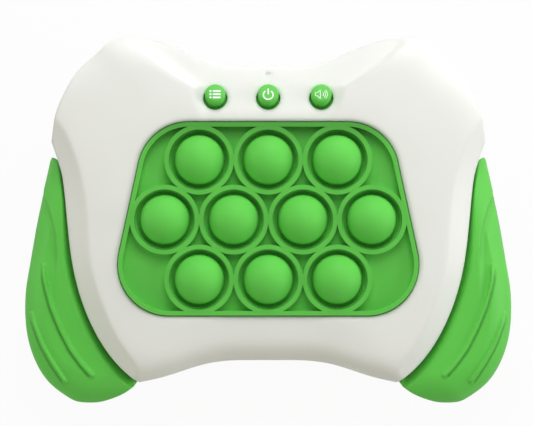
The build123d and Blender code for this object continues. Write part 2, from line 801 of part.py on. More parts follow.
with BuildPart() as rear_shell:
    add(outer_rear)
    add(inner_rear, mode=Mode.SUBTRACT)
    add(rear_ribs.part)
    with BuildSketch():
        with Locations((0, bay_middle_y)):
            Rectangle(2 * bay_half_width, 2 * bay_half_length)
    extrude(amount=bay_top_z, mode=Mode.SUBTRACT)
    with BuildSketch():
        with Locations((0, (recess_low_y + cover_high_y + shell_gap) / 2)):
            RectangleRounded(
                2 * (cover_half_width + shell_gap), cover_high_y + shell_gap - recess_low_y,
                cover_corner_radius,
            )
        with Locations((0, hinge_y)):
            Rectangle(
                2 * (barrel_half_length + shell_gap), cover_low_y - hinge_y, align=(Align.CENTER, Align.MIN)
            )
    extrude(amount=recess_top_z, mode=Mode.SUBTRACT)
    with BuildSketch():
        with Locations((0, hinge_y)):
            Rectangle(2 * (barrel_half_length + shell_gap), 2 * (barrel_radius + running_gap))
    extrude(amount=hinge_z, mode=Mode.SUBTRACT)
    with BuildSketch():
        with Locations(
            (cell_xs[0], bay_high_y - contact_thickness / 2),
            (cell_xs[-1], bay_low_y + contact_thickness / 2),
        ):
            Rectangle(contact_half_width / 2 + 2 * fit, contact_thickness + 4 * fit)
    extrude(amount=roof_top_z, mode=Mode.SUBTRACT)
    with BuildSketch():
        with Locations((0, tab_y)):
            Circle(tab_radius + shell_gap)
        with Locations((0, cover_high_y - shell_gap)):
            Rectangle(4 * tab_radius, 2 * tab_radius, align=(Align.CENTER, Align.MAX), mode=Mode.SUBTRACT)
    extrude(amount=cover_recess + tab_thickness + fit, mode=Mode.SUBTRACT)
    with BuildSketch():
        with Locations((0, tab_y)):
            Circle(cover_screw_radius + cover_screw_play)
    extrude(amount=cover_screw_tip_z + running_gap, mode=Mode.SUBTRACT)
    with Locations((0, hinge_y, hinge_z)):
        Cylinder(
            barrel_radius + running_gap, 2 * (barrel_half_length + shell_gap), rotation=(0, 90, 0),
            mode=Mode.SUBTRACT,
        )
        Cylinder(
            pin_radius + fit, 2 * (barrel_half_length + pin_length + running_gap), rotation=(0, 90, 0),
            mode=Mode.SUBTRACT,
        )
    with BuildSketch():
        with Locations(*case_screw_places):
            Circle(case_screw_head_radius + shell_gap)
    extrude(amount=case_screw_seat_z, mode=Mode.SUBTRACT)
    with BuildSketch():
        with Locations(*case_screw_places):
            Circle(case_screw_radius + fit)
    extrude(amount=split_z, mode=Mode.SUBTRACT)
    with BuildSketch():
        with Locations((speaker_x, speaker_y)):
            for ring in range(sound_hole_rings):
                with PolarLocations(ring * sound_hole_pitch, max(1, 6 * ring)):
                    Circle(sound_hole_radius)
    extrude(amount=wall, mode=Mode.SUBTRACT)
    with BuildSketch(Plane.XY.offset(speaker_seat_z)):
        with Locations(*lug_places):
            Circle(small_screw_hole)
    extrude(amount=speaker_height, mode=Mode.SUBTRACT)
    for plane in grip_screw_planes:
        with BuildSketch(plane):
            Circle(small_screw_hole)
        extrude(amount=2 * wall, mode=Mode.SUBTRACT)
rear_shell.part.label = "rear_shell"
export_step(rear_shell.part, "parts/rear_shell.step")
print("rear shell", rear_shell.part.is_valid, len(rear_shell.solids()), rear_shell.part.volume)

# Right grip: hollow moulding with two raised ribs, fixed by screws from inside the rear shell
grip_block = grip_envelope(0)
with BuildPart() as grip_ribs:
    with BuildSketch():
        for shares in (long_rib_shares, short_rib_shares):
            with BuildLine() as line:
                Spline(*placed(shares, grip_half_width, case_half_length))
            trace(line_width=rib_width)
            for place in (line.line @ 0, line.line @ 1):
                with Locations(place):
                    Circle(rib_width / 2)
    extrude(amount=2 * grip_high_z)
    with Locations((0, 0, split_z / 2)):
        Box(4 * grip_half_width, 4 * case_half_length, split_z, mode=Mode.SUBTRACT)
    add(grip_envelope(-rib_height), mode=Mode.INTERSECT)
with BuildPart() as grip_solid:
    with BuildSketch():
        add(grip_profile(0))
    extrude(amount=grip_high_z)
    add(grip_block, mode=Mode.INTERSECT)
    with BuildSketch():
        add(body_profile(-fit))
    extrude(amount=crown_z, mode=Mode.SUBTRACT)
    add(grip_cutter(0), mode=Mode.SUBTRACT)
with BuildPart() as grip_cavity:
    with BuildSketch():
        add(grip_profile(grip_wall))
    extrude(amount=grip_high_z)
    add(grip_envelope(grip_wall), mode=Mode.INTERSECT)
    add(grip_cutter(grip_wall), mode=Mode.SUBTRACT)
    with BuildSketch():
        with Locations((0, grip_cavity_top_y)):
            Rectangle(4 * grip_half_width, 4 * case_half_length, align=(Align.CENTER, Align.MAX))
    extrude(amount=grip_high_z, mode=Mode.INTERSECT)
    for y in grip_screw_ys:
        with Locations((0, y, grip_screw_z)):
            Cylinder(grip_boss_radius, 4 * grip_half_width, rotation=(0, 90, 0), mode=Mode.SUBTRACT)
with BuildPart() as right_grip:
    add(grip_solid.part)
    add(grip_ribs.part)
    add(grip_cavity.part, mode=Mode.SUBTRACT)
    for y in grip_screw_ys:
        with Locations((0, y, grip_screw_z)):
            Cylinder(
                small_screw_hole, side_x(y) + grip_screw_length, rotation=(0, 90, 0),
                align=(Align.CENTER, Align.CENTER, Align.MIN), mode=Mode.SUBTRACT,
            )
right_grip.part.label = "right_grip"
export_step(right_grip.part, "parts/right_grip.step")
print("right grip", right_grip.part.is_valid, len(right_grip.solids()), right_grip.part.volume)

# Left grip: mirror image of the right one
with BuildPart() as left_grip:
    add(mirror(right_grip.part, about=Plane.YZ, mode=Mode.PRIVATE))
left_grip.part.label = "left_grip"
export_step(left_grip.part, "parts/left_grip.step")

# Bubble panel: rim, rings and pocketed floor, with a flange and ears behind the shell
floor_low_z = panel_floor_z - panel_floor
with BuildPart() as bubble_panel:
    with BuildSketch(Plane.XY.offset(panel_seat_z - panel_flange)):
        add(panel_profile(panel_flange_width))
        with Locations(*panel_screw_places):
            Circle(ear_radius)
    extrude(amount=panel_flange)
    with BuildSketch(Plane.XY.offset(panel_seat_z - panel_flange)):
        add(panel_profile(0))
    extrude(amount=panel_top_z - panel_seat_z + panel_flange)
    with BuildSketch(Plane.XY.offset(panel_seat_z - panel_flange)):
        add(panel_profile(-rim_width))
    extrude(amount=floor_low_z - panel_seat_z + panel_flange, mode=Mode.SUBTRACT)
    with BuildSketch(Plane.XY.offset(panel_floor_z)):
        add(panel_profile(-rim_width))
        with Locations(*bubble_places):
            Circle(ring_outer_radius, mode=Mode.SUBTRACT)
    extrude(amount=panel_top_z - panel_floor_z, mode=Mode.SUBTRACT)
    with BuildSketch(Plane.XY.offset(panel_floor_z)):
        with Locations(*bubble_places):
            Circle(ring_inner_radius)
    extrude(amount=panel_top_z - panel_floor_z, mode=Mode.SUBTRACT)
    with BuildSketch(Plane.XY.offset(floor_low_z)):
        with Locations(*bubble_places):
            Circle(bubble_hole_radius)
    extrude(amount=panel_floor, mode=Mode.SUBTRACT)
    with BuildSketch(Plane.XY.offset(board_top_z)):
        with Locations(*post_places):
            Circle(post_radius)
            Circle(small_screw_hole, mode=Mode.SUBTRACT)
    extrude(amount=floor_low_z - board_top_z)
    with BuildSketch(Plane.XY.offset(panel_seat_z - panel_flange)):
        with Locations(*panel_screw_places):
            Circle(small_screw_hole)
    extrude(amount=panel_flange, mode=Mode.SUBTRACT)
bubble_panel.part.label = "bubble_panel"
export_step(bubble_panel.part, "parts/bubble_panel.step")
print("panel", bubble_panel.part.is_valid, len(bubble_panel.solids()))

# Bubbles: hollow press domes with a flange under the panel and a stem above each switch
def cap(half_width, height):
    """Radius of the round cap over some half width, and the depth of its centre below the cap's foot."""
    radius = (half_width * half_width + height * height) / (2 * height)
    return radius, radius - height


def cap_point(half_width, height, reach):
    """Point of the cap's outline at some reach from its axis."""
    radius, depth = cap(half_width, height)
    return (reach, bubble_base_z - depth + sqrt(radius * radius - reach * reach))


for index, (x, y) in enumerate(bubble_places):
    bubble_name = f"bubble_{index + 1:02d}"
    inner_radius = bubble_radius - bubble_wall
    inner_height = bubble_height - bubble_wall
    stem_top = cap_point(inner_radius, inner_height, bubble_stem_radius)
    with BuildPart() as bubble:
        with BuildSketch(Plane(origin=(x, y, 0), x_dir=(1, 0, 0), z_dir=(0, -1, 0))):
            with BuildLine():
                ThreePointArc(
                    (0, bubble_base_z + bubble_height),
                    cap_point(bubble_radius, bubble_height, bubble_radius / 2),
                    (bubble_radius, bubble_base_z),
                )
                Polyline(
                    (bubble_radius, bubble_base_z),
                    (bubble_radius, bubble_flange_top),
                    (bubble_flange_radius, bubble_flange_top),
                    (bubble_flange_radius, bubble_flange_top - bubble_flange),
                    (inner_radius, bubble_flange_top - bubble_flange),
                    (inner_radius, bubble_base_z),
                )
                ThreePointArc(
                    (inner_radius, bubble_base_z),
                    cap_point(inner_radius, inner_height, (inner_radius + bubble_stem_radius) / 2),
                    stem_top,
                )
                Polyline(
                    stem_top,
                    (bubble_stem_radius, bubble_stem_bottom),
                    (0, bubble_stem_bottom),
                    (0, bubble_base_z + bubble_height),
                )
            make_face()
        revolve(axis=Axis((x, y, 0), (0, 0, 1)))
    bubble.part.label = bubble_name
    export_step(bubble.part, f"parts/{bubble_name}.step")
print("bubble", bubble.part.is_valid, len(bubble.solids()), bubble.part.volume)

# Push buttons: rounded caps with a flange under the shell and a stem above each switch
flange_top_depth = wall + running_gap
for button_name, x in zip(button_names, button_xs):
    with BuildPart() as button:
        with BuildSketch(button_plane(x, button_y, flange_top_depth)):
            Circle(button_radius)
        extrude(amount=flange_top_depth + button_proud)
        fillet(button.faces().sort_by(Axis.Z)[-1].edges(), button_top_radius)
        with BuildSketch(button_plane(x, button_y, flange_top_depth + button_flange)):
            Circle(button_flange_radius)
        extrude(amount=button_flange)
        with BuildSketch(button_plane(x, button_y, flange_top_depth + button_flange + button_stem)):
            Circle(button_stem_radius)
        extrude(amount=button_stem)
    button.part.label = button_name
    export_step(button.part, f"parts/{button_name}.step")

# Main board and the parts on its two faces
with BuildPart() as main_board:
    with BuildSketch(Plane.XY.offset(board_low_z)):
        add(panel_profile(-board_inset))
        with Locations(*post_places):
            Circle(small_screw_hole, mode=Mode.SUBTRACT)
    extrude(amount=board_thickness)
main_board.part.label = "main_board"
export_step(main_board.part, "parts/main_board.step")

with BuildPart() as bubble_switches:
    with BuildSketch(Plane.XY.offset(board_top_z)):
        with Locations(*bubble_places):
            Rectangle(switch_size, switch_size)
    extrude(amount=switch_height / 2)
    with BuildSketch(Plane.XY.offset(board_top_z + switch_height / 2)):
        with Locations(*bubble_places):
            Circle(bubble_stem_radius)
    extrude(amount=switch_height / 2)
bubble_switches.part.label = "bubble_switches"
export_step(bubble_switches.part, "parts/bubble_switches.step")

with BuildPart() as bubble_leds:
    with BuildSketch(Plane.XY.offset(board_top_z)):
        with Locations(*[(x, y + lamp_offset) for x, y in bubble_places]):
            Rectangle(2 * lamp_size, lamp_size)
    extrude(amount=lamp_height)
bubble_leds.part.label = "bubble_leds"
export_step(bubble_leds.part, "parts/bubble_leds.step")

with BuildPart() as controller_chip:
    with BuildSketch(Plane.XY.offset(board_low_z)):
        Rectangle(chip_size, chip_size)
    extrude(amount=-chip_height)
    chamfer(controller_chip.faces().sort_by(Axis.Z)[0].edges(), chip_height / 6)
controller_chip.part.label = "controller_chip"
export_step(controller_chip.part, "parts/controller_chip.step")

with BuildPart() as driver_chip:
    with BuildSketch(Plane.XY.offset(board_low_z)):
        with Locations((-2 * chip_size, 0)):
            Rectangle(driver_width, driver_length)
    extrude(amount=-chip_height)
driver_chip.part.label = "driver_chip"
export_step(driver_chip.part, "parts/driver_chip.step")

with BuildPart() as capacitors:
    with BuildSketch(Plane.XY.offset(board_low_z)):
        with Locations(
            (2 * chip_size, chip_size), (2 * chip_size, -chip_size), (-2 * chip_size, -2 * chip_size)
        ):
            Circle(capacitor_radius)
    extrude(amount=-capacitor_height)
capacitors.part.label = "capacitors"
export_step(capacitors.part, "parts/capacitors.step")

# Board connectors: two for the battery leads, one for the ribbon and one for the speaker
board_high_y = panel_top_y - board_inset
positive_end = (cell_xs[0] - lead_spread, bay_high_y)
negative_end = (cell_xs[-1] + lead_spread, bay_low_y)
speaker_plug = (speaker_x, speaker_y + speaker_radius + connector_width)
with BuildPart() as board_connectors:
    with BuildSketch(Plane.XY.offset(board_low_z)):
        with Locations(
            (positive_end[0], positive_end[1] - connector_width / 2),
            (negative_end[0], negative_end[1] + connector_width / 2),
            speaker_plug,
        ):
            Rectangle(connector_length, connector_width)
        with Locations((0, board_high_y - connector_width / 2)):
            Rectangle(ribbon_width + connector_width / 2, connector_width)
    extrude(amount=-connector_height)
board_connectors.part.label = "board_connectors"
export_step(board_connectors.part, "parts/board_connectors.step")

# Button board, tilted under the push buttons, with its switches and lamp
with BuildPart() as button_board:
    with BuildSketch(button_plane(0, button_y, button_board_depth + button_board_thickness)):
        with Locations((0, -button_board_low)):
            Rectangle(
                2 * button_board_half_width, button_board_low + button_board_high,
                align=(Align.CENTER, Align.MIN),
            )
        with Locations((button_pitch / 2, 0), (-button_pitch / 2, 0)):
            Circle(small_screw_hole, mode=Mode.SUBTRACT)
    extrude(amount=button_board_thickness)
button_board.part.label = "button_board"
export_step(button_board.part, "parts/button_board.step")

with BuildPart() as button_switches:
    with BuildSketch(button_plane(0, button_y, button_board_depth)):
        with Locations(*[(x, 0) for x in button_xs]):
            Rectangle(button_switch_size, button_switch_size)
    extrude(amount=button_switch_height / 2)
    with BuildSketch(button_plane(0, button_y, button_board_depth - button_switch_height / 2)):
        with Locations(*[(x, 0) for x in button_xs]):
            Circle(button_stem_radius)
    extrude(amount=button_switch_height / 2)
button_switches.part.label = "button_switches"
export_step(button_switches.part, "parts/button_switches.step")

with BuildPart() as status_led:
    with BuildSketch(button_plane(0, pinhole_y, button_board_depth)):
        Rectangle(lamp_size, lamp_size)
    extrude(amount=status_lamp_height)
status_led.part.label = "status_led"
export_step(status_led.part, "parts/status_led.step")

with BuildPart() as light_pipe:
    with BuildSketch(button_plane(0, pinhole_y, button_board_depth - status_lamp_height)):
        Circle(light_pipe_radius)
    extrude(amount=button_board_depth - status_lamp_height - fit)
light_pipe.part.label = "light_pipe"
export_step(light_pipe.part, "parts/light_pipe.step")

# Flat cable between the two boards
ribbon_start = button_plane(0, button_y, button_board_depth + button_board_thickness)
ribbon_origin = ribbon_start.origin - ribbon_start.y_dir * (button_board_low / 2)
ribbon_drop = ribbon_origin - ribbon_start.z_dir * (ribbon_origin.Z - connector_z) * ribbon_drop_share
with BuildPart() as button_ribbon:
    with BuildSketch(Plane.YZ.offset(-ribbon_width / 2)):
        with BuildLine():
            FilletPolyline(
                (ribbon_origin.Y, ribbon_origin.Z),
                (ribbon_drop.Y, ribbon_drop.Z),
                ((ribbon_drop.Y + board_high_y) / 2, connector_z),
                (board_high_y, connector_z),
                radius=2 * ribbon_thickness,
            )
        trace(line_width=ribbon_thickness)
    extrude(amount=ribbon_width)
button_ribbon.part.label = "button_ribbon"
export_step(button_ribbon.part, "parts/button_ribbon.step")

# Battery cover: plate with a hinge barrel at its lower end and a screw tab at its upper end
with BuildPart() as battery_cover:
    with BuildSketch(Plane.XY.offset(cover_recess)):
        with Locations((0, (cover_low_y + cover_high_y) / 2)):
            RectangleRounded(2 * cover_half_width, cover_high_y - cover_low_y, cover_corner_radius)
        with Locations((0, hinge_y)):
            Rectangle(2 * barrel_half_length, cover_low_y - hinge_y + fit, align=(Align.CENTER, Align.MIN))
    extrude(amount=cover_thickness)
    with BuildSketch(Plane.XY.offset(cover_recess)):
        with Locations((0, tab_y)):
            Circle(tab_radius)
    extrude(amount=tab_thickness)
    with BuildSketch(Plane.XY.offset(cover_recess + cover_thickness)):
        with Locations((0, bay_high_y + cover_overlap)):
            Rectangle(3 * tab_radius, 2 * tab_radius, align=(Align.CENTER, Align.MAX))
    extrude(amount=tab_thickness, mode=Mode.SUBTRACT)
    with Locations((0, hinge_y, hinge_z)):
        Cylinder(barrel_radius, 2 * barrel_half_length, rotation=(0, 90, 0))
        Cylinder(pin_radius, 2 * (barrel_half_length + pin_length), rotation=(0, 90, 0))
    with BuildSketch():
        with Locations((0, tab_y)):
            Circle(cover_screw_head_radius + fit)
    extrude(amount=cover_recess + 2 * cover_screw_head, mode=Mode.SUBTRACT)
    with BuildSketch():
        with Locations((0, tab_y)):
            Circle(cover_screw_radius + fit)
    extrude(amount=cover_recess + tab_thickness, mode=Mode.SUBTRACT)
battery_cover.part.label = "battery_cover"
export_step(battery_cover.part, "parts/battery_cover.step")
print("cover", battery_cover.part.is_valid, len(battery_cover.solids()))

with BuildPart() as cover_screw:
    with BuildSketch(Plane.XY.offset(cover_screw_seat_z)):
        with Locations((0, tab_y)):
            Circle(cover_screw_head_radius)
    extrude(amount=-cover_screw_head)
    with BuildSketch(Plane.XY.offset(cover_screw_seat_z)):
        with Locations((0, tab_y)):
            Circle(cover_screw_radius)
    extrude(amount=cover_screw_tip_z - cover_screw_seat_z)
    with BuildSketch(Plane.XY.offset(cover_screw_seat_z - cover_screw_head)):
        with Locations((0, tab_y)):
            Rectangle(cover_screw_head_radius, cover_screw_head_radius / 4)
            Rectangle(cover_screw_head_radius / 4, cover_screw_head_radius)
    extrude(amount=cover_screw_head / 2, mode=Mode.SUBTRACT)
cover_screw.part.label = "cover_screw"
export_step(cover_screw.part, "parts/cover_screw.step")

# Cells lie side by side, turned end for end, and the contacts join them in series
for index, x in enumerate(cell_xs):
    upright = 1 if index % 2 == 0 else -1
    cell_name = f"battery_{index + 1}"
    first_y = bay_middle_y - upright * (cell_length + nub_length) / 2
    with BuildPart() as cell:
        with BuildSketch(Plane(origin=(x, first_y, cell_centre_z), x_dir=(1, 0, 0), z_dir=(0, upright, 0))):
            Circle(cell_radius)
        extrude(amount=cell_length)
        fillet(cell.edges(), contact_thickness)
        with BuildSketch(Plane(origin=(x, first_y, cell_centre_z), x_dir=(1, 0, 0), z_dir=(0, upright, 0))):
            Circle(nub_radius)
        extrude(amount=cell_length + nub_length)
    cell.part.label = cell_name
    export_step(cell.part, f"parts/{cell_name}.step")


def contact(xs, wall_y, inward):
    """Sprung contact strip at one end of the bay, arched towards each cell that it touches."""
    middle = sum(xs) / len(xs)
    half_width = (xs[-1] - xs[0]) / 2 + contact_half_width
    face_y = wall_y + inward * contact_thickness
    with BuildPart() as strip:
        with BuildSketch(Plane.XY.offset(cell_centre_z - contact_half_height)):
            with Locations((middle, wall_y + inward * contact_thickness / 2)):
                Rectangle(2 * half_width, contact_thickness)
        extrude(amount=2 * contact_half_height)
        for x in xs:
            start = (face_y, cell_centre_z - contact_half_height)
            crest = (face_y + inward * contact_arch, cell_centre_z)
            finish = (face_y, cell_centre_z + contact_half_height)
            with BuildSketch(Plane.YZ.offset(x - nub_radius)):
                with BuildLine():
                    ThreePointArc(start, crest, finish)
                    Line(finish, start)
                make_face()
            extrude(amount=2 * nub_radius)
        if len(xs) == 1:
            with BuildSketch(Plane.XY.offset(cell_centre_z)):
                with Locations((middle, wall_y + inward * contact_thickness / 2)):
                    Rectangle(contact_half_width / 2, contact_thickness)
            extrude(amount=tail_z + lead_radius - cell_centre_z)
    return strip.part


with BuildPart() as upper_contacts:
    add(contact(cell_xs[:1], bay_high_y, -1))
    add(contact(cell_xs[1:], bay_high_y, -1))
upper_contacts.part.label = "upper_contacts"
export_step(upper_contacts.part, "parts/upper_contacts.step")

with BuildPart() as lower_contacts:
    add(contact(cell_xs[:2], bay_low_y, 1))
    add(contact(cell_xs[2:], bay_low_y, 1))
lower_contacts.part.label = "lower_contacts"
export_step(lower_contacts.part, "parts/lower_contacts.step")

# Battery leads: from each outer contact's tail, turned back in a loop, to its connector under the board
for lead_name, tail, end, outward in (
    ("battery_lead_positive", (cell_xs[0], bay_high_y), positive_end, 1),
    ("battery_lead_negative", (cell_xs[-1], bay_low_y), negative_end, -1),
):
    route = [(tail[0], tail[1], tail_z)]
    for step in range(lead_steps + 1):
        share = step / lead_steps
        route.append((
            (tail[0] + end[0]) / 2 + (tail[0] - end[0]) / 2 * cos(pi * share),
            tail[1] + outward * (lead_leg + lead_spread / 2 * sin(pi * share)),
            tail_z + (connector_z - tail_z) * share,
        ))
    route.append((end[0], end[1], connector_z))
    with BuildPart() as battery_lead:
        add(tube(route, lead_radius, lead_name))
    battery_lead.part.label = lead_name
    export_step(battery_lead.part, f"parts/{lead_name}.step")

# Speaker on its gasket, held by a ring with two lugs
with BuildPart() as speaker_gasket:
    with BuildSketch(Plane.XY.offset(wall)):
        with Locations((speaker_x, speaker_y)):
            Circle(speaker_radius)
            Circle(speaker_radius - 2 * gasket_thickness, mode=Mode.SUBTRACT)
    extrude(amount=gasket_thickness)
speaker_gasket.part.label = "speaker_gasket"
export_step(speaker_gasket.part, "parts/speaker_gasket.step")

with BuildPart() as speaker:
    with BuildSketch(Plane.XY.offset(speaker_seat_z)):
        with Locations((speaker_x, speaker_y)):
            Circle(speaker_radius)
    extrude(amount=speaker_height)
    chamfer(speaker.faces().sort_by(Axis.Z)[-1].edges(), gasket_thickness)
    with BuildSketch(Plane.XY.offset(speaker_seat_z + speaker_height)):
        with Locations((speaker_x, speaker_y)):
            Circle(magnet_radius)
    extrude(amount=magnet_height)
speaker.part.label = "speaker"
export_step(speaker.part, "parts/speaker.step")

speaker_top_z = speaker_seat_z + speaker_height
with BuildPart() as speaker_clamp:
    with BuildSketch(Plane.XY.offset(speaker_top_z)):
        with Locations((speaker_x, speaker_y)):
            Circle(speaker_radius)
            Rectangle(2 * clamp_lug_radius, 2 * speaker_clamp_y)
        with Locations(*lug_places):
            Circle(clamp_lug_radius)
            Circle(small_screw_hole, mode=Mode.SUBTRACT)
        with Locations((speaker_x, speaker_y)):
            Circle(magnet_radius + running_gap, mode=Mode.SUBTRACT)
    extrude(amount=clamp_thickness)
speaker_clamp.part.label = "speaker_clamp"
export_step(speaker_clamp.part, "parts/speaker_clamp.step")

# Speaker leads: side by side from the magnet's terminals up to the plug under the board
magnet_top_z = speaker_top_z + magnet_height
plug_z = board_low_z - connector_height
speaker_wires = []
for side in (1, -1):
    wire_x = speaker_x + side * 3 * speaker_lead_radius
    wire_route = [
        (
            wire_x,
            speaker_y + along * (speaker_plug[1] - speaker_y),
            magnet_top_z + up * (plug_z - magnet_top_z),
        )
        for along, up in speaker_lead_shares
    ]
    speaker_wires.append(tube(wire_route, speaker_lead_radius, "speaker lead"))
with BuildPart() as speaker_leads:
    add(speaker_wires)
speaker_leads.part.label = "speaker_leads"
export_step(speaker_leads.part, "parts/speaker_leads.step")

# Screws, one node for each kind
with BuildPart() as case_screws:
    add(screw(
        [Plane(origin=(x, y, case_screw_seat_z), z_dir=(0, 0, 1)) for x, y in case_screw_places],
        case_screw_radius, case_screw_head_radius, case_screw_length,
    ))
case_screws.part.label = "case_screws"
export_step(case_screws.part, "parts/case_screws.step")

with BuildPart() as panel_screws:
    add(screw(
        [Plane(origin=(x, y, panel_seat_z - panel_flange), z_dir=(0, 0, 1)) for x, y in panel_screw_places],
        small_screw_radius, small_screw_head_radius, small_screw_length,
    ))
panel_screws.part.label = "panel_screws"
export_step(panel_screws.part, "parts/panel_screws.step")

with BuildPart() as board_screws:
    add(screw(
        [Plane(origin=(x, y, board_low_z), z_dir=(0, 0, 1)) for x, y in post_places],
        small_screw_radius, small_screw_head_radius, small_screw_length,
    ))
board_screws.part.label = "board_screws"
export_step(board_screws.part, "parts/board_screws.step")

button_board_back = button_board_depth + button_board_thickness
with BuildPart() as button_board_screws:
    add(screw(
        [button_plane(side * button_pitch / 2, button_y, button_board_back) for side in (1, -1)],
        small_screw_radius, small_screw_head_radius, small_screw_length,
    ))
button_board_screws.part.label = "button_board_screws"
export_step(button_board_screws.part, "parts/button_board_screws.step")

with BuildPart() as speaker_screws:
    add(screw(
        [Plane(origin=(x, y, speaker_top_z + clamp_thickness), z_dir=(0, 0, -1)) for x, y in lug_places],
        small_screw_radius, small_screw_head_radius, small_screw_length,
    ))
speaker_screws.part.label = "speaker_screws"
export_step(speaker_screws.part, "parts/speaker_screws.step")

with BuildPart() as grip_screws:
    add(screw(grip_screw_planes, small_screw_radius, small_screw_head_radius, grip_screw_length))
grip_screws.part.label = "grip_screws"
export_step(grip_screws.part, "parts/grip_screws.step")
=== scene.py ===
"""Hand-held bubble game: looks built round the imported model, lit and seen from straight above."""

import json
import logging
import math
from dataclasses import dataclass, field
from enum import Enum

import bmesh
import bpy
from mathutils import Matrix, Vector

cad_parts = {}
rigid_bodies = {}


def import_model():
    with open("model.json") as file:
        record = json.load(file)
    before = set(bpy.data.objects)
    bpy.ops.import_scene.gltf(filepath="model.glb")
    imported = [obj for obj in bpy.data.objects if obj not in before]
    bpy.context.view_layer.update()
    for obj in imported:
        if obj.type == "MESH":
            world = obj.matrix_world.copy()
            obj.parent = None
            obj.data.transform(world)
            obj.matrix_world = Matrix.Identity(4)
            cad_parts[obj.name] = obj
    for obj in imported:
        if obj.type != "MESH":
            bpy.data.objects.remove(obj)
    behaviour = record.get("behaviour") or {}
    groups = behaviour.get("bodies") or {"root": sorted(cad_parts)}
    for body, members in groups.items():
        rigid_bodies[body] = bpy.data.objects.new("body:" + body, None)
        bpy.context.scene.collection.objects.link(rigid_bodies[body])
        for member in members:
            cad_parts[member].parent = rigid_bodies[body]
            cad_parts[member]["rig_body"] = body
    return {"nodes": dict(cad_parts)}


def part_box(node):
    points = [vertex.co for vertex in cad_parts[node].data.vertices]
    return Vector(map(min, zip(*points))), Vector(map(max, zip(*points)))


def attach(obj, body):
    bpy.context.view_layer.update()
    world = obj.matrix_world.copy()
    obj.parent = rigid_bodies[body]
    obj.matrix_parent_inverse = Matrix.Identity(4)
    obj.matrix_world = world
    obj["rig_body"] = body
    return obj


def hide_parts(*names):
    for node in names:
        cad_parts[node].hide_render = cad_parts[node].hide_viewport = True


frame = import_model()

log = logging.getLogger("bubble_game")
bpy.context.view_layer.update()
MM = 0.001

Point = tuple[float, float]
Line = tuple[Point, ...]
Color = tuple[float, float, float]


class Side(Enum):
    """Which hand a grip is for, named by its CAD node."""

    LEFT = "left_grip"
    RIGHT = "right_grip"


class Symbol(Enum):
    """Printed symbols on the push buttons, named by their CAD bodies."""

    MENU = "menu_button"
    POWER = "power_button"
    VOLUME = "volume_button"


# ---- Finishes -----------------------------------------------------------------------------------

CLOUD_SCALE = 45.0
CLOUD_RANGE = (0.3, 0.7)
# Painted shade: a colour's dark copy is the colour times this level.
PAINTED_SHADE_LEVEL = 0.08
# Per-vertex layer that holds painted shade in creases, grooves and seams.
PAINTED_SHADE_LAYER = "painted_crease_shade"


def noise(
    tree: bpy.types.NodeTree, place: bpy.types.NodeSocket, scale: float, detail: float = 2.0
) -> bpy.types.NodeSocket:
    """Adds a noise texture.

    Args:
        tree: The material's node tree.
        place: Socket of the coordinates.
        scale: Cells in a metre.
        detail: Layers of finer noise.

    Returns:
        Socket of the noise, from 0 to 1.
    """
    node = tree.nodes.new("ShaderNodeTexNoise")
    node.inputs["Scale"].default_value = scale
    node.inputs["Detail"].default_value = detail
    tree.links.new(place, node.inputs["Vector"])
    return node.outputs["Fac"]


def ranged(
    tree: bpy.types.NodeTree, value: bpy.types.NodeSocket, limits: Point, results: Point
) -> bpy.types.NodeSocket:
    """Maps a value from one range to another, held at both ends.

    Args:
        tree: The material's node tree.
        value: Socket of the value.
        limits: Its lower and upper limit.
        results: What the limits become.

    Returns:
        Socket of the result.
    """
    node = tree.nodes.new("ShaderNodeMapRange")
    for name, number in zip(("From Min", "From Max", "To Min", "To Max"), (*limits, *results)):
        node.inputs[name].default_value = number
    tree.links.new(value, node.inputs["Value"])
    return node.outputs["Result"]


@dataclass(frozen=True)
class Finish:
    """A procedural material, built once and shared by the pieces that wear it."""

    name: str
    color: Color

    def material(self) -> bpy.types.Material:
        """Builds the node material, or returns the one already built.

        Returns:
            The material for this finish.
        """
        found = bpy.data.materials.get(self.name)
        if found:
            return found
        made = bpy.data.materials.new(self.name)
        made.use_nodes = True
        self.fill(made.node_tree)
        return made

    def fill(self, tree: bpy.types.NodeTree) -> None:
        """Sets up the nodes of the material.

        Args:
            tree: Its node tree, with a Principled shader in it.
        """
        raise NotImplementedError


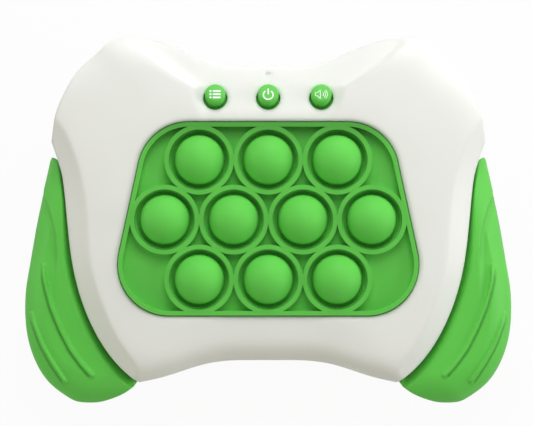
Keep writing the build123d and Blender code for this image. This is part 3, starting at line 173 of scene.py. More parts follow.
@dataclass(frozen=True)
class Moulded(Finish):
    """Moulded plastic or silicone with a fine grain, faint tone changes and uneven gloss.

    Grain sizes are in mm, and so is soft_edge, the radius to which edges are rounded in the
    shading. The top shade is painted shade: where along Y it starts and is full, in mm, and its
    full share; it stands for the shadow of the shell's edge on the panel's top rim. A finish that
    reads painted shade darkens by the painted shade that the piece carries in its vertices.
    """

    roughness: float = 0.42
    grain_size: float = 0.45
    grain_depth: float = 0.012
    tone_change: float = 0.03
    gloss_change: float = 0.06
    coat: float = 0.0
    specular: float = 0.5
    soft_edge: float = 0.0
    # Painted shade towards the top along Y: start, full and share.
    top_painted_shade: tuple[float, float, float] | None = None
    # Whether the colour takes the painted shade from the piece's per-vertex layer.
    reads_painted_shade: bool = False

    def fill(self, tree: bpy.types.NodeTree) -> None:
        """Sets up the nodes of the material.

        Args:
            tree: Its node tree, with a Principled shader in it.
        """
        shader = tree.nodes["Principled BSDF"]
        shader.inputs["Specular IOR Level"].default_value = self.specular
        shader.inputs["Coat Weight"].default_value = self.coat
        shader.inputs["Coat Roughness"].default_value = 0.25
        place = tree.nodes.new("ShaderNodeTexCoord").outputs["Object"]
        clouds = noise(tree, place, CLOUD_SCALE, detail=3.0)
        low = self.roughness - self.gloss_change / 2
        high = self.roughness + self.gloss_change / 2
        gloss = ranged(tree, clouds, CLOUD_RANGE, (low, high))
        tree.links.new(self.toned(tree, place, clouds), shader.inputs["Base Color"])
        tree.links.new(gloss, shader.inputs["Roughness"])
        tree.links.new(self.grained(tree, place), shader.inputs["Normal"])

    def toned(
        self, tree: bpy.types.NodeTree, place: bpy.types.NodeSocket, clouds: bpy.types.NodeSocket
    ) -> bpy.types.NodeSocket:
        """Colour with its wandering tone and its painted shades.

        Args:
            tree: The material's node tree.
            place: Socket of the object coordinates.
            clouds: Socket of the wide noise.

        Returns:
            Socket of the colour.
        """
        tone = tree.nodes.new("ShaderNodeValToRGB")
        levels = (1 - self.tone_change, 1 + self.tone_change)
        for stop, position, level in zip(tone.color_ramp.elements, CLOUD_RANGE, levels):
            stop.position = position
            stop.color = (*[min(1.0, channel * level) for channel in self.color], 1.0)
        tree.links.new(clouds, tone.inputs["Fac"])
        color = tone.outputs["Color"]
        # Painted shade: darker towards the top edge, for the shell edge's shadow on the panel's
        # rim.
        if self.top_painted_shade:
            start, full, share = self.top_painted_shade
            parts = tree.nodes.new("ShaderNodeSeparateXYZ")
            tree.links.new(place, parts.inputs["Vector"])
            fall = ranged(tree, parts.outputs["Y"], (start * MM, full * MM), (0.0, share))
            color = self.with_painted_shade(tree, color, fall)
        # Painted shade in creases, grooves and seams, from the piece's per-vertex layer.
        if self.reads_painted_shade:
            crease = tree.nodes.new("ShaderNodeAttribute")
            crease.attribute_name = PAINTED_SHADE_LAYER
            color = self.with_painted_shade(tree, color, crease.outputs["Fac"])
        return color

    def with_painted_shade(
        self, tree: bpy.types.NodeTree, color: bpy.types.NodeSocket, share: bpy.types.NodeSocket
    ) -> bpy.types.NodeSocket:
        """Mixes a colour towards its own dark copy, as painted shade.

        Args:
            tree: The material's node tree.
            color: The colour's socket.
            share: Socket that holds the share of the painted shade.

        Returns:
            Socket of the mixed colour.
        """
        mix = tree.nodes.new("ShaderNodeMix")
        mix.data_type = "RGBA"
        # Painted shade colour: the finish's colour times the painted shade level.
        mix.inputs["B"].default_value = (*[channel * PAINTED_SHADE_LEVEL for channel in self.color], 1.0)
        tree.links.new(share, mix.inputs["Factor"])
        tree.links.new(color, mix.inputs["A"])
        return mix.outputs["Result"]

    def grained(
        self, tree: bpy.types.NodeTree, place: bpy.types.NodeSocket
    ) -> bpy.types.NodeSocket:
        """Normal with the fine grain, and with rounded edges where the finish has them.

        Args:
            tree: The material's node tree.
            place: Socket of the object coordinates.

        Returns:
            Socket of the normal.
        """
        bump = tree.nodes.new("ShaderNodeBump")
        bump.inputs["Distance"].default_value = self.grain_depth * MM
        bump.inputs["Strength"].default_value = 0.5
        grain = noise(tree, place, 1.0 / (self.grain_size * MM))
        tree.links.new(grain, bump.inputs["Height"])
        if self.soft_edge:
            edges = tree.nodes.new("ShaderNodeBevel")
            edges.samples = 8
            edges.inputs["Radius"].default_value = self.soft_edge * MM
            tree.links.new(edges.outputs["Normal"], bump.inputs["Normal"])
        return bump.outputs["Normal"]


@dataclass(frozen=True)
class Metal(Finish):
    """Plated or brushed metal with faint streaks."""

    roughness: float = 0.3
    streak_scale: float = 900.0
    streak_stretch: float = 0.08

    def fill(self, tree: bpy.types.NodeTree) -> None:
        """Sets up the nodes of the material.

        Args:
            tree: Its node tree, with a Principled shader in it.
        """
        shader = tree.nodes["Principled BSDF"]
        shader.inputs["Metallic"].default_value = 1.0
        shader.inputs["Base Color"].default_value = (*self.color, 1.0)
        place = tree.nodes.new("ShaderNodeTexCoord").outputs["Object"]
        stretch = tree.nodes.new("ShaderNodeMapping")
        stretch.inputs["Scale"].default_value = (1.0, self.streak_stretch, 1.0)
        tree.links.new(place, stretch.inputs["Vector"])
        streaks = noise(tree, stretch.outputs["Vector"], self.streak_scale)
        spread = (self.roughness - 0.08, self.roughness + 0.12)
        tree.links.new(ranged(tree, streaks, (0.0, 1.0), spread), shader.inputs["Roughness"])


@dataclass(frozen=True)
class Clear(Finish):
    """Clear moulded rod or lens."""

    transmission: float = 0.2
    haze_scale: float = 1500.0
    gloss: Point = (0.1, 0.25)

    def fill(self, tree: bpy.types.NodeTree) -> None:
        """Sets up the nodes of the material.

        Args:
            tree: Its node tree, with a Principled shader in it.
        """
        shader = tree.nodes["Principled BSDF"]
        shader.inputs["Base Color"].default_value = (*self.color, 1.0)
        shader.inputs["Transmission Weight"].default_value = self.transmission
        place = tree.nodes.new("ShaderNodeTexCoord").outputs["Object"]
        haze = noise(tree, place, self.haze_scale)
        tree.links.new(ranged(tree, haze, (0.0, 1.0), self.gloss), shader.inputs["Roughness"])


WHITE_PLASTIC = Moulded(
    "white_plastic", (0.87, 0.875, 0.84),
    roughness=0.5, tone_change=0.008, specular=0.3, soft_edge=3.0,
)
# The grips' green; it takes the painted shade that the grips carry.
GREEN_PLASTIC = Moulded(
    "green_plastic", (0.125, 0.60, 0.078),
    roughness=0.5, tone_change=0.02, specular=0.25, reads_painted_shade=True,
)
# The panel's green, with painted shade towards its top edge.
GREEN_PANEL = Moulded(
    "green_panel_plastic", (0.118, 0.55, 0.074),
    roughness=0.48, tone_change=0.02, specular=0.25, top_painted_shade=(24.0, 31.6, 0.36),
)
GREEN_SILICONE = Moulded(
    "dome_silicone", (0.135, 0.64, 0.087), roughness=0.6, grain_depth=0.006, specular=0.2
)
BUTTON_SILICONE = Moulded(
    "button_silicone", (0.12, 0.60, 0.078), roughness=0.5, grain_depth=0.006, specular=0.3
)
WHITE_INK = Moulded(
    "white_ink", (0.9, 0.91, 0.88), roughness=0.5, grain_depth=0.004, tone_change=0.01
)
BOARD_RESIST = Moulded("board_resist", (0.02, 0.16, 0.06), roughness=0.35, coat=0.3)
BLACK_PLASTIC = Moulded("black_plastic", (0.02, 0.02, 0.022), roughness=0.5)
CONNECTOR_PLASTIC = Moulded("connector_plastic", (0.7, 0.67, 0.56), roughness=0.45)
LAMP_PLASTIC = Moulded("lamp_plastic", (0.8, 0.76, 0.5), roughness=0.25, coat=0.4)
CELL_SLEEVE = Moulded("cell_sleeve", (0.05, 0.055, 0.07), roughness=0.28, coat=0.5)
RED_SHEATH = Moulded("red_sheath", (0.42, 0.02, 0.015), roughness=0.45)
BLACK_SHEATH = Moulded("black_sheath", (0.015, 0.015, 0.015), roughness=0.45)
RIBBON_FILM = Moulded("ribbon_film", (0.55, 0.55, 0.5), roughness=0.4)
SPEAKER_PAINT = Moulded("speaker_paint", (0.03, 0.03, 0.035), roughness=0.35, coat=0.3)
FOAM = Moulded(
    "gasket_foam", (0.03, 0.03, 0.03), roughness=0.9, grain_depth=0.08, grain_size=0.3
)
SWITCH_STEEL = Metal("switch_steel", (0.62, 0.62, 0.62))
CONTACT_NICKEL = Metal("contact_nickel", (0.66, 0.65, 0.62), roughness=0.22)
SCREW_ZINC = Metal("screw_zinc", (0.55, 0.56, 0.58), roughness=0.34)
CLEAR_ROD = Clear("clear_rod", (0.93, 0.95, 0.95))

INNER_FINISHES: dict[str, Finish] = {
    "light_pipe": CLEAR_ROD,
    "main_board": BOARD_RESIST,
    "button_board": BOARD_RESIST,
    "bubble_switches": SWITCH_STEEL,
    "button_switches": SWITCH_STEEL,
    "bubble_leds": LAMP_PLASTIC,
    "status_led": LAMP_PLASTIC,
    "controller_chip": BLACK_PLASTIC,
    "driver_chip": BLACK_PLASTIC,
    "capacitors": BLACK_PLASTIC,
    "board_connectors": CONNECTOR_PLASTIC,
    "button_ribbon": RIBBON_FILM,
    "battery_1": CELL_SLEEVE,
    "battery_2": CELL_SLEEVE,
    "battery_3": CELL_SLEEVE,
    "upper_contacts": CONTACT_NICKEL,
    "lower_contacts": CONTACT_NICKEL,
    "battery_lead_positive": RED_SHEATH,
    "battery_lead_negative": BLACK_SHEATH,
    "speaker": SPEAKER_PAINT,
    "speaker_gasket": FOAM,
    "speaker_clamp": BLACK_PLASTIC,
    "speaker_leads": BLACK_SHEATH,
    "case_screws": SCREW_ZINC,
    "panel_screws": SCREW_ZINC,
    "board_screws": SCREW_ZINC,
    "button_board_screws": SCREW_ZINC,
    "speaker_screws": SCREW_ZINC,
    "grip_screws": SCREW_ZINC,
    "cover_screw": SCREW_ZINC,
}


# ---- Shared tools -------------------------------------------------------------------------------

MERGE_DISTANCE = 1e-7
SHARP_ANGLE = 38.0


def dress(obj: bpy.types.Object, finish: Finish) -> None:
    """Gives an object one finish all over.

    Args:
        obj: The object to dress.
        finish: The finish whose material it gets.
    """
    obj.data.materials.clear()
    obj.data.materials.append(finish.material())


def settle(
    name: str, mesh: bmesh.types.BMesh, body: str, finish: Finish
) -> bpy.types.Object:
    """Turns a finished bmesh into a smooth-shaded piece that rides on a body.

    Args:
        name: The piece's name.
        mesh: The bmesh in metres, in the part's frame. It is freed.
        body: The body that the piece rides on.
        finish: Its finish.

    Returns:
        The new object.
    """
    bmesh.ops.remove_doubles(mesh, verts=mesh.verts, dist=MERGE_DISTANCE)
    bmesh.ops.recalc_face_normals(mesh, faces=mesh.faces)
    data = bpy.data.meshes.new(name)
    mesh.to_mesh(data)
    mesh.free()
    data.set_sharp_from_angle(angle=math.radians(SHARP_ANGLE))
    obj = bpy.data.objects.new(name, data)
    bpy.context.scene.collection.objects.link(obj)
    dress(obj, finish)
    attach(obj, body)
    log.info("%s: %d faces", name, len(data.polygons))
    return obj


def spun(mesh: bmesh.types.BMesh, profile: list[Point], place: Matrix, steps: int = 64) -> None:
    """Spins a closed or axis-to-axis profile into a ring or a round solid.

    Args:
        mesh: The bmesh that receives the shape.
        profile: Points as (radius, height) in mm, the last one not repeating the first.
        place: Matrix in metres that puts the shape, made round +Z at the origin, in its place.
        steps: Segments of the full turn.
    """
    closed = all(radius > 0 for radius, _ in profile)
    rail = [mesh.verts.new((radius * MM, 0, height * MM)) for radius, height in profile]
    pairs = list(zip(rail, rail[1:])) + ([(rail[-1], rail[0])] if closed else [])
    edges = [mesh.edges.new(pair) for pair in pairs]
    before = set(mesh.verts) - set(rail)
    bmesh.ops.spin(
        mesh, geom=rail + edges, cent=(0, 0, 0), axis=(0, 0, 1), angle=math.tau, steps=steps,
        use_merge=True,
    )
    fresh = [vert for vert in mesh.verts if vert not in before]
    bmesh.ops.remove_doubles(mesh, verts=fresh, dist=MERGE_DISTANCE)
    fresh = [vert for vert in mesh.verts if vert not in before]
    bmesh.ops.transform(mesh, matrix=place, verts=fresh)


def arc(centre: Point, radius: float, start: float, stop: float, steps: int) -> list[Point]:
    """Points along an arc.

    Args:
        centre: Its centre as (radius, height).
        radius: Its radius.
        start: First angle in degrees.
        stop: Last angle in degrees.
        steps: Number of chords.

    Returns:
        The points, both ends included.
    """
    angles = [math.radians(start + (stop - start) * step / steps) for step in range(steps + 1)]
    return [(centre[0] + radius * math.cos(a), centre[1] + radius * math.sin(a)) for a in angles]


def smooth_step(share: float) -> float:
    """Eased rise from 0 to 1."""
    held = min(1.0, max(0.0, share))
    return held * held * (3 - 2 * held)


# ---- Sub-assemblies -----------------------------------------------------------------------------


@dataclass
class Shells:
    """White front and rear shells and the battery cover."""

    nodes: tuple[str, ...] = ("front_shell", "rear_shell", "battery_cover")

    def build(self) -> None:
        """Dresses the three white mouldings."""
        for node in self.nodes:
            dress(frame["nodes"][node], WHITE_PLASTIC)
        log.info("shells dressed")


@dataclass
class Panel:
    """Green panel with its rim, rings and pockets. Sizes are in mm and degrees."""

    edge: float = 0.3
    edge_segments: int = 3
    edge_angle: float = 35.0
    merge: float = 2e-4
    flat_angle: float = 0.05

    def build(self) -> None:
        """Stands a copy of the panel, with its sharp edges rounded, in the panel's place."""
        node = "bubble_panel"
        source = frame["nodes"][node]
        mesh = bmesh.new()
        mesh.from_mesh(source.data)
        bmesh.ops.remove_doubles(mesh, verts=mesh.verts, dist=self.merge * MM)
        bmesh.ops.dissolve_limit(
            mesh, angle_limit=math.radians(self.flat_angle), verts=mesh.verts, edges=mesh.edges,
            delimit={"NORMAL"},
        )
        obj = settle(f"{node}_finished", mesh, source["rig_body"], GREEN_PANEL)
        rounding = obj.modifiers.new("rounded_edges", "BEVEL")
        rounding.width = self.edge * MM
        rounding.segments = self.edge_segments
        rounding.limit_method = "ANGLE"
        rounding.angle_limit = math.radians(self.edge_angle)
        rounding.use_clamp_overlap = True
        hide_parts(node)


@dataclass
class Bubble:
    """One hollow press dome with its flange and stem. Sizes are in mm."""

    index: int
    radius: float = 8.35
    height: float = 7.8
    base_z: float = 34.0
    wall: float = 1.4
    flange_radius: float = 10.2
    flange_top_z: float = 32.7
    flange: float = 1.4
    flange_rounding: float = 0.3
    root_rounding: float = 0.5
    stem_radius: float = 1.6
    steps: int = 96

    @property
    def name(self) -> str:
        """Name of the CAD node and body."""
        return f"bubble_{self.index:02d}"

    def profile(self) -> list[Point]:
        """Outline of half the section, from the dome's top round to the stem's foot.

        Returns:
            Points as (radius, height) in mm.
        """
        low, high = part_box(self.name)
        top, stem_foot = high.z / MM, low.z / MM
        outer = (self.radius**2 + self.height**2) / (2 * self.height)
        inner_half, inner_height = self.radius - self.wall, self.height - self.wall
        inner = (inner_half**2 + inner_height**2) / (2 * inner_height)
        start = math.degrees(math.asin((self.base_z - (top - outer)) / outer))
        points = [(0.0, top)] + arc((0, top - outer), outer, 90, start, 18)[1:]
        root, edge = self.root_rounding, self.flange_rounding
        points += arc((self.radius + root, self.flange_top_z + root), root, 180, 270, 4)
        points += arc((self.flange_radius - edge, self.flange_top_z - edge), edge, 90, 0, 3)
        under = self.flange_top_z - self.flange
        points += [(self.flange_radius, under), (inner_half, under)]
        centre = self.base_z + inner_height - inner
        begin = math.degrees(math.asin((self.base_z - centre) / inner))
        finish = math.degrees(math.acos(self.stem_radius / inner))
        points += arc((0, centre), inner, begin, finish, 10)
        points += [(self.stem_radius, stem_foot), (0.0, stem_foot)]
        return points

    def build(self) -> None:
        """Spins the dome and stands it in its node's place."""
        low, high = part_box(self.name)
        mesh = bmesh.new()
        place = Matrix.Translation(((low.x + high.x) / 2, (low.y + high.y) / 2, 0))
        spun(mesh, self.profile(), place, self.steps)
        obj = settle(f"{self.name}_dome", mesh, self.name, GREEN_SILICONE)
        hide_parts(self.name)


@dataclass
class PushButton:
    """One push button on the sloped valley floor, with its printed symbol. Sizes are in mm."""

    symbol: Symbol
    radius: float = 3.65
    cap_radius: float = 3.42
    proud: float = 2.7
    depth: float = 2.5
    flange: float = 1.0
    flange_radius: float = 4.3
    stem: float = 0.6
    stem_radius: float = 1.4
    rounding: float = 1.2
    tilt: float = 20.0
    ink: float = 0.05
    symbol_shift: float = -0.55
    menu_rows: tuple[float, ...] = (-1.15, 0.0, 1.15)
    menu_dot_x: float = -1.55
    menu_dot_radius: float = 0.36
    menu_bar_ends: Point = (-0.5, 1.6)
    menu_bar_radius: float = 0.32
    power_middle: Point = (0.0, -0.2)
    power_radius: float = 1.62
    power_width: float = 0.46
    power_angles: Point = (125, 415)
    power_bar_ends: Point = (0.15, 1.85)
    power_bar_radius: float = 0.24
    horn: Line = (
        (-2.0, -0.55), (-1.3, -0.55), (-0.35, -1.5), (-0.35, 1.5), (-1.3, 0.55), (-2.0, 0.55),
    )
    horn_line_radius: float = 0.11
    wave_middle: Point = (-0.1, 0)
    wave_radii: tuple[float, ...] = (0.85, 1.5, 2.1)
    wave_width: float = 0.2
    wave_angles: Point = (-46, 46)

    def frame_matrix(self) -> Matrix:
        """Matrix from the button's own frame, origin at the valley floor, to the part's frame.

        Returns:
            The matrix, in metres.
        """
        low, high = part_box(self.symbol.value)
        slope = math.radians(self.tilt)
        turn = Matrix.Rotation(-slope, 4, "X")
        axis = turn @ Vector((0, 0, 1))
        reach = self.proud * axis.z + (self.radius - self.rounding) * math.sin(slope)
        origin_z = high.z - (reach + self.rounding * (1 - axis.z)) * MM
        origin_y = high.y - (self.flange_radius * axis.z - self.depth * axis.y) * MM
        log.info("%s: floor at y %.2f z %.2f", self.symbol.value, origin_y / MM, origin_z / MM)
        return Matrix.Translation(((low.x + high.x) / 2, origin_y, origin_z)) @ turn

    def build(self) -> None:
        """Spins the cap and prints its symbol."""
        place = self.frame_matrix()
        corner = (self.cap_radius - self.rounding, self.proud - self.rounding)
        under = -self.depth - self.flange
        profile = [(0.0, self.proud)] + arc(corner, self.rounding, 90, 0, 8)
        profile += [
            (self.cap_radius, -self.depth), (self.flange_radius, -self.depth),
            (self.flange_radius, under), (self.stem_radius, under),
            (self.stem_radius, under - self.stem), (0.0, under - self.stem),
        ]
        mesh = bmesh.new()
        spun(mesh, profile, place)
        body = self.symbol.value
        obj = settle(f"{body}_cap", mesh, body, BUTTON_SILICONE)
        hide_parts(self.symbol.value)
        self.print_symbol(place)

    def print_symbol(self, place: Matrix) -> None:
        """Lays the white symbol on the cap's top.

        Args:
            place: Matrix of the button's own frame.
        """
        mesh = bmesh.new()
        drawings = {
            Symbol.MENU: self.draw_menu,
            Symbol.POWER: self.draw_power,
            Symbol.VOLUME: self.draw_volume,
        }
        drawings[self.symbol](mesh)
        flat = Matrix.Translation((0, self.symbol_shift * MM, (self.proud - self.ink / 2) * MM))
        bmesh.ops.transform(mesh, matrix=place @ flat, verts=mesh.verts)
        settle(f"{self.symbol.value}_symbol", mesh, self.symbol.value, WHITE_INK)

    def draw_menu(self, mesh: bmesh.types.BMesh) -> None:
        """Draws three rows of a dot and a bar."""
        start, stop = self.menu_bar_ends
        for row in self.menu_rows:
            self.bar(mesh, (self.menu_dot_x, row), (self.menu_dot_x, row), self.menu_dot_radius)
            self.bar(mesh, (start, row), (stop, row), self.menu_bar_radius)

    def draw_power(self, mesh: bmesh.types.BMesh) -> None:
        """Draws an open ring with a bar in its gap."""
        start, stop = self.power_bar_ends
        self.sweep_arc(
            mesh, self.power_middle, self.power_radius, self.power_width, self.power_angles
        )
        self.bar(mesh, (0, start), (0, stop), self.power_bar_radius)

    def draw_volume(self, mesh: bmesh.types.BMesh) -> None:
        """Draws the outline of a horn and three waves."""
        for start, stop in zip(self.horn, self.horn[1:] + self.horn[:1]):
            self.bar(mesh, start, stop, self.horn_line_radius)
        for radius in self.wave_radii:
            self.sweep_arc(mesh, self.wave_middle, radius, self.wave_width, self.wave_angles)

    def thicken(self, mesh: bmesh.types.BMesh, faces: list[bmesh.types.BMFace]) -> None:
        """Gives flat faces the ink's thickness.

        Args:
            mesh: The bmesh that holds them.
            faces: Flat faces at height zero.
        """
        made = bmesh.ops.extrude_face_region(mesh, geom=faces)
        lifted = [item for item in made["geom"] if isinstance(item, bmesh.types.BMVert)]
        bmesh.ops.translate(mesh, verts=lifted, vec=(0, 0, self.ink * MM))

    def bar(self, mesh: bmesh.types.BMesh, start: Point, stop: Point, radius: float) -> None:
        """Adds a bar with round ends, or a dot where it starts and stops at one place.

        Args:
            mesh: The bmesh that receives it.
            start: Centre of its first end in mm.
            stop: Centre of its last end in mm.
            radius: Half its width in mm.
        """
        run = Vector(stop) - Vector(start)
        made = bmesh.ops.create_circle(mesh, cap_ends=True, segments=24, radius=radius * MM)
        for vert in made["verts"]:
            if abs(vert.co.x) > 1e-9:
                vert.co.x += math.copysign(run.length / 2 * MM, vert.co.x)
        middle = (Vector(start) + Vector(stop)) / 2 * MM
        turn = Matrix.Rotation(math.atan2(run.y, run.x), 4, "Z")
        place = Matrix.Translation((*middle, 0)) @ turn
        bmesh.ops.transform(mesh, matrix=place, verts=made["verts"])
        self.thicken(mesh, list({face for vert in made["verts"] for face in vert.link_faces}))

    def sweep_arc(
        self, mesh: bmesh.types.BMesh, centre: Point, radius: float, width: float, angles: Point
    ) -> None:
        """Adds part of a flat ring.

        Args:
            mesh: The bmesh that receives it.
            centre: Its centre in mm.
            radius: Radius of its middle line in mm.
            width: Its width in mm.
            angles: First and last angle in degrees.
        """
        start = math.radians(angles[0])
        x, y = centre[0] * MM, centre[1] * MM
        ends = [
            mesh.verts.new((x + reach * MM * math.cos(start), y + reach * MM * math.sin(start), 0))
            for reach in (radius - width / 2, radius + width / 2)
        ]
        edge = mesh.edges.new(ends)
        before = set(mesh.faces)
        bmesh.ops.spin(
            mesh, geom=[*ends, edge], cent=(x, y, 0), axis=(0, 0, 1),
            angle=math.radians(angles[1] - angles[0]), steps=28,
        )
        self.thicken(mesh, [face for face in mesh.faces if face not in before])


@dataclass
class Grip:
    """Green side grip with two raised ribs and a sunken band outside, and with painted shade at the
    ribs' outer feet, just outside the band and along the seam inside.

    Lines are given on the right grip and mirrored for the left. Sizes are in mm, painted shades are
    shares of the finish's dark copy.
    """

    side: Side
    cell: float = 0.36
    upper_normal: float = 0.1
    rib_half_width: float = 0.68
    rib_height: float = 0.6
    rib_start_fade: float = 5.0
    rib_end_fade: float = 1.25
    rib_end_level: float = 0.3
    foot_width: float = 0.6
    foot_depth: float = 0.35
    # Painted shadow along each rib's outer foot.
    foot_painted_shade: float = 0.4
    band_depth: float = 0.6
    band_blend: float = 0.9
    band_fade: float = 12.0
    # Painted shade just outside the band's step.
    band_painted_shade: float = 0.15
    band_painted_shade_width: float = 3.0
    # Painted shade along the seam to the body, growing towards the heel.
    seam_painted_shade_width: float = 1.6
    seam_painted_shade: float = 0.4
    long_rib: Line = (
        (75.5, -14.9), (74.8, -20.4), (72.6, -28.5), (69.6, -35.9), (66.0, -42.9), (62.3, -48.0),
        (59.0, -51.7),
    )
    short_rib: Line = (
        (79.8, -31.1), (78.1, -35.9), (75.9, -41.4), (72.6, -47.3), (68.2, -54.0),
    )
    band: Line = (
        (76.1, 9.3), (73.7, 5.1), (72.3, 0.8), (70.9, -4.8), (70.6, -11.8), (71.2, -20.0),
    )
    seam: Line = (
        (69.8, 19.0), (68.4, 11.4), (67.1, 0.0), (66.3, -8.0), (65.2, -17.4), (62.9, -26.0),
        (60.4, -31.8), (57.9, -37.7), (54.9, -42.5), (51.0, -47.4), (46.5, -52.3),
    )

    def beside(self, line: Line, x: float, y: float) -> tuple[float, float, float]:
        """Place beside a line on the grip.

        Args:
            line: Points of the line on the right grip, in mm.
            x: Distance from the middle plane in mm.
            y: Place along the case in mm.

        Returns:
            Distance from the line, positive on its outer side, and the lengths of line before
            and after, in mm.
        """
        place = Vector((x, y))
        offset, run, done = 1e9, 0.0, 0.0
        for first, last in zip(line, line[1:]):
            start, along = Vector(first), Vector(last) - Vector(first)
            share = min(1.0, max(0.0, (place - start).dot(along) / along.length_squared))
            away = place - start - along * share
            if away.length < abs(offset):
                offset = math.copysign(away.length, along.cross(away))
                run = done + share * along.length
            done += along.length
        return offset, run, done - run

    def sculpt(self, x: float, y: float) -> tuple[float, float]:
        """Rise and painted shade of the grip's upper face at a place.

        Args:
            x: Distance from the middle plane in mm.
            y: Place along the case in mm.

        Returns:
            The rise in mm and the share of painted shade.
        """
        rise, shade = 0.0, 0.0
        for line in (self.long_rib, self.short_rib):
            offset, before, after = self.beside(line, x, y)
            fade = smooth_step(before / self.rib_start_fade)
            fade *= smooth_step(after / self.rib_end_fade + self.rib_end_level)
            if abs(offset) < self.rib_half_width:
                rise += self.rib_height * fade * (1 - (offset / self.rib_half_width) ** 2) ** 2
            # Sunken foot on the rib's outer side, with painted shadow along it.
            foot = abs(offset - self.rib_half_width - self.foot_width / 2) / self.foot_width
            if foot < 1:
                rise -= self.foot_depth * fade * (1 - foot)
                shade = max(shade, self.foot_painted_shade * fade * (1 - foot**2))
        offset, before, after = self.beside(self.band, x, y)
        if before > 0 and after > 0 and offset > 0:
            fade = smooth_step(before / self.band_blend) * smooth_step(after / self.band_fade)
            rise -= self.band_depth * fade * smooth_step(offset / self.band_blend)
            # Painted shade just outside the band's step.
            near = max(0.0, 1 - offset / self.band_painted_shade_width)
            shade = max(shade, self.band_painted_shade * fade * near)
        # Painted shade along the seam to the body, growing towards the heel.
        offset, before, after = self.beside(self.seam, x, y)
        depth = self.seam_painted_shade * (before / (before + after)) ** 2
        return rise, max(shade, depth * (1 - smooth_step(abs(offset) / self.seam_painted_shade_width)))

    def build(self) -> None:
        """Evens out a copy of the grip, raises the ribs and sinks the band on it, and stores
        painted shade in its vertices.
        """
        node = self.side.value
        source = frame["nodes"][node]
        mesh = bmesh.new()
        mesh.from_mesh(source.data)
        obj = settle(f"{node}_moulding", mesh, source["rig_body"], GREEN_PLASTIC)
        even = obj.modifiers.new("even_mesh", "REMESH")
        even.mode = "VOXEL"
        even.voxel_size = self.cell * MM
        depsgraph = bpy.context.evaluated_depsgraph_get()
        data = bpy.data.meshes.new_from_object(obj.evaluated_get(depsgraph))
        obj.modifiers.clear()
        mesh = bmesh.new()
        mesh.from_mesh(data)
        bmesh.ops.smooth_vert(
            mesh, verts=mesh.verts, factor=0.5, use_axis_x=True, use_axis_y=True, use_axis_z=True
        )
        low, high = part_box(node)
        # Per-vertex painted shade, read by the grip's finish.
        layer = mesh.verts.layers.float.new(PAINTED_SHADE_LAYER)
        for vert in mesh.verts:
            if vert.normal.z > self.upper_normal:
                rise, vert[layer] = self.sculpt(abs(vert.co.x) / MM, vert.co.y / MM)
                vert.co.z += rise * MM
            vert.co = Vector(min(max(value, a), b) for value, a, b in zip(vert.co, low, high))
        mesh.to_mesh(obj.data)
        mesh.free()
        for face in obj.data.polygons:
            face.use_smooth = True
        bpy.data.meshes.remove(data)
        log.info("%s: %d faces", obj.name, len(obj.data.polygons))
        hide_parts(node)


@dataclass
class Works:
    """Everything inside: boards, cells, speaker, leads and screws."""

    finishes: dict[str, Finish] = field(default_factory=lambda: dict(INNER_FINISHES))

    def build(self) -> None:
        """Dresses each inner CAD node."""
        for node, finish in self.finishes.items():
            dress(frame["nodes"][node], finish)
        log.info("works: %d nodes dressed", len(self.finishes))


# ---- Studio -------------------------------------------------------------------------------------


@dataclass(frozen=True)
class Lamp:
    """Square soft lamp that looks at the object.

    bearing is in degrees clockwise from +Y and height in degrees above the floor. size and
    distance are in metres, power is in watts.
    """

    name: str
    bearing: float
    height: float
    size: float
    power: float
    color: Color = (1.0, 1.0, 1.0)
    distance: float = 0.8

    def stand(self) -> None:
        """Adds the lamp to the scene."""
        bearing, height = math.radians(self.bearing), math.radians(self.height)
        flat = math.cos(height) * self.distance
        place = Vector((
            flat * math.sin(bearing), flat * math.cos(bearing), self.distance * math.sin(height)
        ))
        data = bpy.data.lights.new(self.name, "AREA")
        data.shape = "SQUARE"
        data.size = self.size
        data.energy = self.power
        data.color = self.color
        obj = bpy.data.objects.new(self.name, data)
        obj.location = place
        obj.rotation_mode = "QUATERNION"
        obj.rotation_quaternion = (-place).to_track_quat("-Z", "Y")
        bpy.context.scene.collection.objects.link(obj)


LAMPS = (
    Lamp("top_lamp", 10, 45, 0.5, 2.8),
    Lamp("low_top_lamp", 5, 25, 0.4, 1.8),
    Lamp("right_lamp", 90, 20, 0.4, 2.5),
    Lamp("left_lamp", -90, 20, 0.4, 0.95, (1.0, 0.99, 0.9)),
    Lamp("bottom_lamp", -160, 35, 0.5, 0.95, (1.0, 0.98, 0.65)),
)


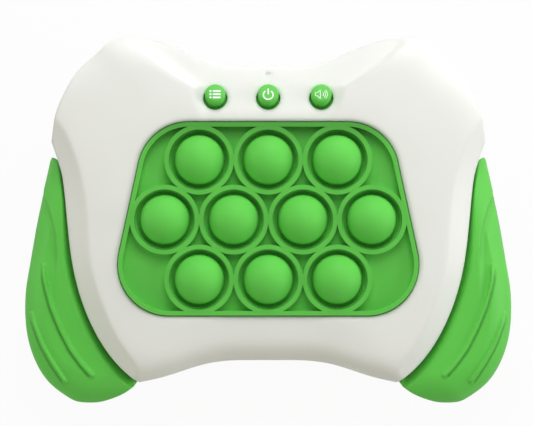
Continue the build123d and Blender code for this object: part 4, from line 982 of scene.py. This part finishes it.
@dataclass
class Studio:
    """Floor, lights, backdrop and camera.

    The camera is set by the picture: its size and the object's middle in pixels, the mm that a
    pixel spans at reference_z, and the distance and sensor in mm.
    """

    scale: float = 0.34
    picture: tuple[int, int] = (533, 426)
    middle: Point = (268.2, 221.2)
    reference_z: float = 16.0
    distance: float = 800.0
    sensor: float = 36.0
    floor_reach: float = 1.5
    floor_level: float = 0.8
    floor_roughness: float = 0.9
    floor_glow: float = 0.94
    fill: float = 0.24

    def floor(self) -> None:
        """Makes the pale floor, white to the camera but still taking the object's shadow."""
        mesh = bmesh.new()
        bmesh.ops.create_grid(mesh, x_segments=8, y_segments=8, size=self.floor_reach)
        data = bpy.data.meshes.new("floor")
        mesh.to_mesh(data)
        mesh.free()
        obj = bpy.data.objects.new("floor", data)
        bpy.context.scene.collection.objects.link(obj)
        made = bpy.data.materials.new("pale_floor")
        made.use_nodes = True
        nodes, links = made.node_tree.nodes, made.node_tree.links
        shader = nodes["Principled BSDF"]
        level = self.floor_level
        shader.inputs["Base Color"].default_value = (level, level, level, 1.0)
        shader.inputs["Roughness"].default_value = self.floor_roughness
        glow = nodes.new("ShaderNodeEmission")
        glow.inputs["Color"].default_value = (1, 1, 1, 1)
        glow.inputs["Strength"].default_value = 1.0
        path = nodes.new("ShaderNodeLightPath")
        share = nodes.new("ShaderNodeMath")
        share.operation = "MULTIPLY"
        share.inputs[1].default_value = self.floor_glow
        mix = nodes.new("ShaderNodeMixShader")
        links.new(path.outputs["Is Camera Ray"], share.inputs[0])
        links.new(share.outputs["Value"], mix.inputs["Fac"])
        links.new(shader.outputs["BSDF"], mix.inputs[1])
        links.new(glow.outputs["Emission"], mix.inputs[2])
        links.new(mix.outputs["Shader"], nodes["Material Output"].inputs["Surface"])
        obj.data.materials.append(made)

    def backdrop(self) -> None:
        """Makes the world white to the camera and in reflections, and a soft fill elsewhere."""
        world = bpy.data.worlds.new("studio")
        bpy.context.scene.world = world
        world.use_nodes = True
        nodes, links = world.node_tree.nodes, world.node_tree.links
        fill = nodes["Background"]
        fill.inputs["Color"].default_value = (1.0, 1.0, 1.0, 1.0)
        fill.inputs["Strength"].default_value = self.fill
        white = nodes.new("ShaderNodeBackground")
        white.inputs["Color"].default_value = (1, 1, 1, 1)
        white.inputs["Strength"].default_value = 1.0
        path = nodes.new("ShaderNodeLightPath")
        seen = path.outputs["Is Camera Ray"]
        for ray in ("Is Glossy Ray", "Is Transmission Ray"):
            either = nodes.new("ShaderNodeMath")
            either.operation = "MAXIMUM"
            links.new(seen, either.inputs[0])
            links.new(path.outputs[ray], either.inputs[1])
            seen = either.outputs["Value"]
        mix = nodes.new("ShaderNodeMixShader")
        links.new(seen, mix.inputs["Fac"])
        links.new(fill.outputs["Background"], mix.inputs[1])
        links.new(white.outputs["Background"], mix.inputs[2])
        links.new(mix.outputs["Shader"], nodes["World Output"].inputs["Surface"])

    def camera(self) -> None:
        """Sets the camera straight above, framed as the picture is."""
        data = bpy.data.cameras.new("camera")
        data.sensor_width = self.sensor
        data.lens = self.sensor * self.distance / (self.picture[0] * self.scale)
        obj = bpy.data.objects.new("camera", data)
        offset_x = (self.picture[0] / 2 - self.middle[0]) * self.scale
        offset_y = (self.middle[1] - self.picture[1] / 2) * self.scale
        obj.location = (offset_x * MM, offset_y * MM, (self.reference_z + self.distance) * MM)
        data.clip_start, data.clip_end = 0.01, 10.0
        bpy.context.scene.collection.objects.link(obj)
        bpy.context.scene.camera = obj

    def build(self) -> None:
        """Sets up the whole studio."""
        self.floor()
        self.backdrop()
        for lamp in LAMPS:
            lamp.stand()
        self.camera()
        bpy.context.scene.view_settings.view_transform = "Standard"


def main() -> None:
    """Builds each sub-assembly in order, then the studio."""
    logging.basicConfig(level=logging.INFO, format="%(name)s: %(message)s")
    Shells().build()
    Panel().build()
    for index in range(1, 11):
        Bubble(index).build()
    for symbol in Symbol:
        PushButton(symbol).build()
    for side in Side:
        Grip(side).build()
    Works().build()
    Studio().build()


if __name__ == "__main__":
    main()
